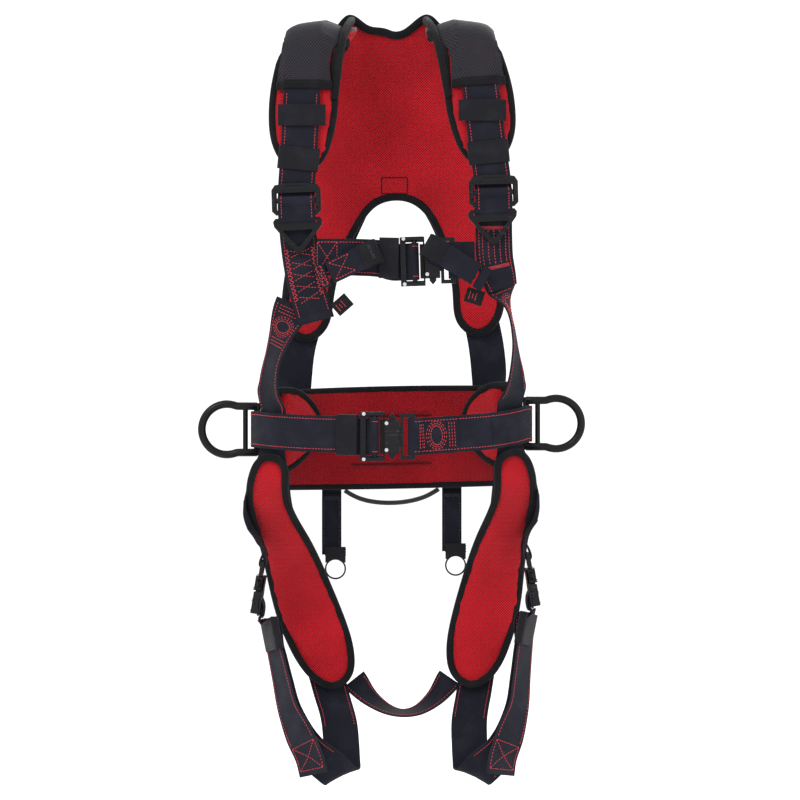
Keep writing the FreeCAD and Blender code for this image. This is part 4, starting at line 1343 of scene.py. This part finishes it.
def keepers():
    for name, side in SIDES.items():
        centre = hung((side * 115.5, -102.7, -172))
        way = (0.1 * side, -0.02, -1)
        band = elastic_loop("keeper_shoulder_" + name, centre, way, (1, 0, 0), 24.6, 2.9, 28)
        if name == "left":
            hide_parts("elastic_keepers")
        centre = hung((side * 157.5, -34, -757))
        way = (0.2 * side, 0.1, 1)
        elastic_loop("keeper_leg_" + name, centre, way, (0.35 * side, 0.93, 0), 24.6, 5.0, 40)
    elastic_loop("keeper_chest", Vector((-3, -103.6, -297)), (1, 0, -0.02), (0, 0, 1), 24.3, 3.4, 24)
    centre = belt_at(math.pi + math.acos(54 / BELT_A))
    elastic_loop("keeper_belt", centre, (1, -0.2, -0.02), (0, 0, 1), 24.4, 3.4, 26)


def sternal_loops(name):
    """Sewn chest loop: webbing out to an eye and back, with a dark sleeve over the eye."""
    root, tip, up = STERNAL[name]
    length = math.dist(root, tip)
    axes = Axes(root, Vector(tip) - Vector(root), up)
    body = "sternal_loop_" + name
    gap, radius = 1.3, 4.6
    path = [(1, -gap), (length * 0.4, -gap - 0.5), (length * 0.7, -3.4), (length - 2, -radius)]
    for t in range(-75, 80, 15):
        path.append((length + radius * math.cos(math.radians(t)), radius * math.sin(math.radians(t))))
    path += [(x, -z) for x, z in reversed(path[:4])]
    loop = Strap("sternal_webbing_" + name, axes.stations(path), 28, 2.0, "webbing", body, 2.5)
    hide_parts(body)
    cover = [(x, z * 1.02) for x, z in path if x > length * 0.55]
    sleeve = Strap("sternal_sleeve_" + name, axes.stations(cover), 29.4, 3.0, "sleeve", body, 2.5)
    for start, end, share in ((4, length * 0.5, 0.05), (loop.length - length * 0.5, loop.length - 4, 0.95)):
        s = towards(loop, share, axes.out)
        loop.edge_rows(s, start, end, inset=3.0)
        loop.cross(start, end, 11, s)
    for share in (0.3, 0.7):
        sleeve.bar_tack(sleeve.length * share, 10, towards(sleeve, share, axes.out), "dark_thread")
    fixed = axes.stations([(-14, 2.6), (-6, 2.2), (-2.5, 1.0)])
    base = Strap("sternal_base_" + name, fixed, 30, 3.0, step=2.5)
    base.box_x(2, base.length - 3, towards(base, 0.3, axes.out), inset=3.0)


def tool_straps(name, side):
    x, y, top = hung((side * 77, 102.5, -588))
    low = hung((side * 77, 102.5, -666)).z
    path = [(Vector((x, y, top + (low - top) * k / 6)), RIGHT) for k in range(7)]
    strap = Strap("tool_webbing_" + name, path, TOOL_WEBBING, 2.0, "webbing", "tool_strap_" + name)
    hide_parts("tool_strap_" + name)
    tab = [(Vector((x, 104.4, z)), RIGHT) for z in (-566, -573, -580, top - 1)]
    Strap("tool_tab_" + name, tab, TOOL_WEBBING, 1.8)
    for s in (-1, 1):
        strap.edge_rows(s, 3, strap.length - 2, "dark_thread", inset=3.0)
        strap.bar_tack(6, 9, s, "dark_thread")


def back_straps(name, side):
    strap = Strap("back_webbing_" + name, sided(BACK, side))
    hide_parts("back_strap_" + name)
    s = towards(strap, 0.3, BACKWARD)
    strap.edge_rows(s, 6, strap.length - 4)
    strap.box_x(8, 36, s)
    strap.box_x(strap.length - 36, strap.length - 6, s)


def seat():
    strap = Strap("seat_webbing", SEAT, 32.0)
    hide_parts("seat_strap")
    for s in (-1, 1):
        strap.edge_rows(s, 4, strap.length - 4, inset=3.6)


def gear_loop():
    """Thin braided cord behind the waist pad."""
    curve = bpy.data.curves.new("gear_cord", "CURVE")
    curve.dimensions = "3D"
    line = curve.splines.new("NURBS")
    line.points.add(len(GEAR_ROUTE) - 1)
    for point, place in zip(line.points, GEAR_ROUTE):
        point.co = (*(Vector(place) * MM), 1)
    line.order_u = 3
    line.use_endpoint_u = True
    curve.bevel_depth = 3.0 * MM
    curve.bevel_resolution = 6
    curve.use_fill_caps = True
    curve.materials.append(M["cord"])
    cord = show("gear_cord", curve)
    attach(cord, ROOT)
    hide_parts("gear_loop")


def tags():
    """Two small folded labels with plain red marks."""
    for name, axes in (("left", Axes((-60, -104, -354), (0.75, 0, 0.66), (-0.66, 0, 0.75))),
                       ("right", Axes((101, -104.4, -344), (0.95, 0, -0.3), (0.3, 0, 0.95)))):
        flat = axes.stations([(-11, 0.5), (9.5, 0.8), (11, 0), (9.5, -0.8), (-11, -0.5)])
        tag = Strap("tag_" + name, flat, 18, 0.8, "sleeve", step=2.0)
        s = towards(tag, 0.2)
        for along, half in ((5, 5), (9, 3), (13, 5)):
            tag.sew([(along, -half), (along, half)], s, pitch=2.2, length=1.8)
        if name == "left":
            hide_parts("tags")


BEVEL_M = 0.0006


def finish_hardware():
    """Materials and softened edges on the CAD metal."""
    for node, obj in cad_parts.items():
        if "buckle_rivets" in node:
            look = "rivet"
        elif "ring_left" in node or "ring_right" in node or node == "dorsal_ring":
            look = "plastic" if node.startswith("tool") else "ring_steel"
        elif "buckle" in node or "adjuster" in node or "dorsal" in node:
            look = "steel"
        else:
            continue
        for slot in obj.material_slots:
            slot.material = M[look]
        weld = obj.modifiers.new("Weld", "WELD")
        weld.merge_threshold = 1e-5
        bevel = obj.modifiers.new("Bevel", "BEVEL")
        bevel.width = BEVEL_M
        bevel.segments = 2
        bevel.limit_method = "ANGLE"
        bevel.angle_limit = SHARP


LOOK_AT = Vector((0, 0, -0.45))
# Each light: name, place, size and power.
LIGHTS = (("key", (-1.6, -2.6, 1.6), 1.4, 45), ("fill", (2.4, -2.6, 0.2), 2.0, 12),
          ("back", (0.6, 2.6, 1.4), 1.8, 45))


def studio():
    """Plain pale floor, soft lights and the camera, in metres."""
    scene = bpy.context.scene
    bpy.ops.mesh.primitive_plane_add(size=60, location=(0, 0, -1.06))
    floor = bpy.context.object
    floor.name = "floor"
    floor.data.materials.append(floor_paint())
    world = bpy.data.worlds.new("studio")
    world.use_nodes = True
    sky = world.node_tree.nodes["Background"].inputs
    sky["Color"].default_value = (1, 1, 1, 1)
    sky["Strength"].default_value = 1.2
    scene.world = world
    scene.view_settings.view_transform = "Standard"
    for name, place, size, power in LIGHTS:
        lamp = bpy.data.lights.new(name, "AREA")
        lamp.size = size
        lamp.energy = power
        holder = show(name, lamp)
        holder.location = place
        holder.rotation_euler = (LOOK_AT - Vector(place)).to_track_quat("-Z", "Y").to_euler()
    camera = bpy.data.cameras.new("camera")
    camera.lens = 144.0
    scene.camera = show("camera", camera)
    scene.camera.location = (0.0106, -4.0, -0.470)
    scene.camera.rotation_euler = (math.radians(90), 0, 0)


finish_hardware()
make_pads()
for name, axes in BUCKLES.items():
    buckle_floor(name, axes)
for name, side in SIDES.items():
    shoulder_straps(name, side)
    front_straps(name, side)
    leg_straps(name, side)
    back_straps(name, side)
    sternal_loops(name)
    tool_straps(name, side)
chest_straps()
belt()
keepers()
seat()
gear_loop()
tags()
build_stitches()
studio()
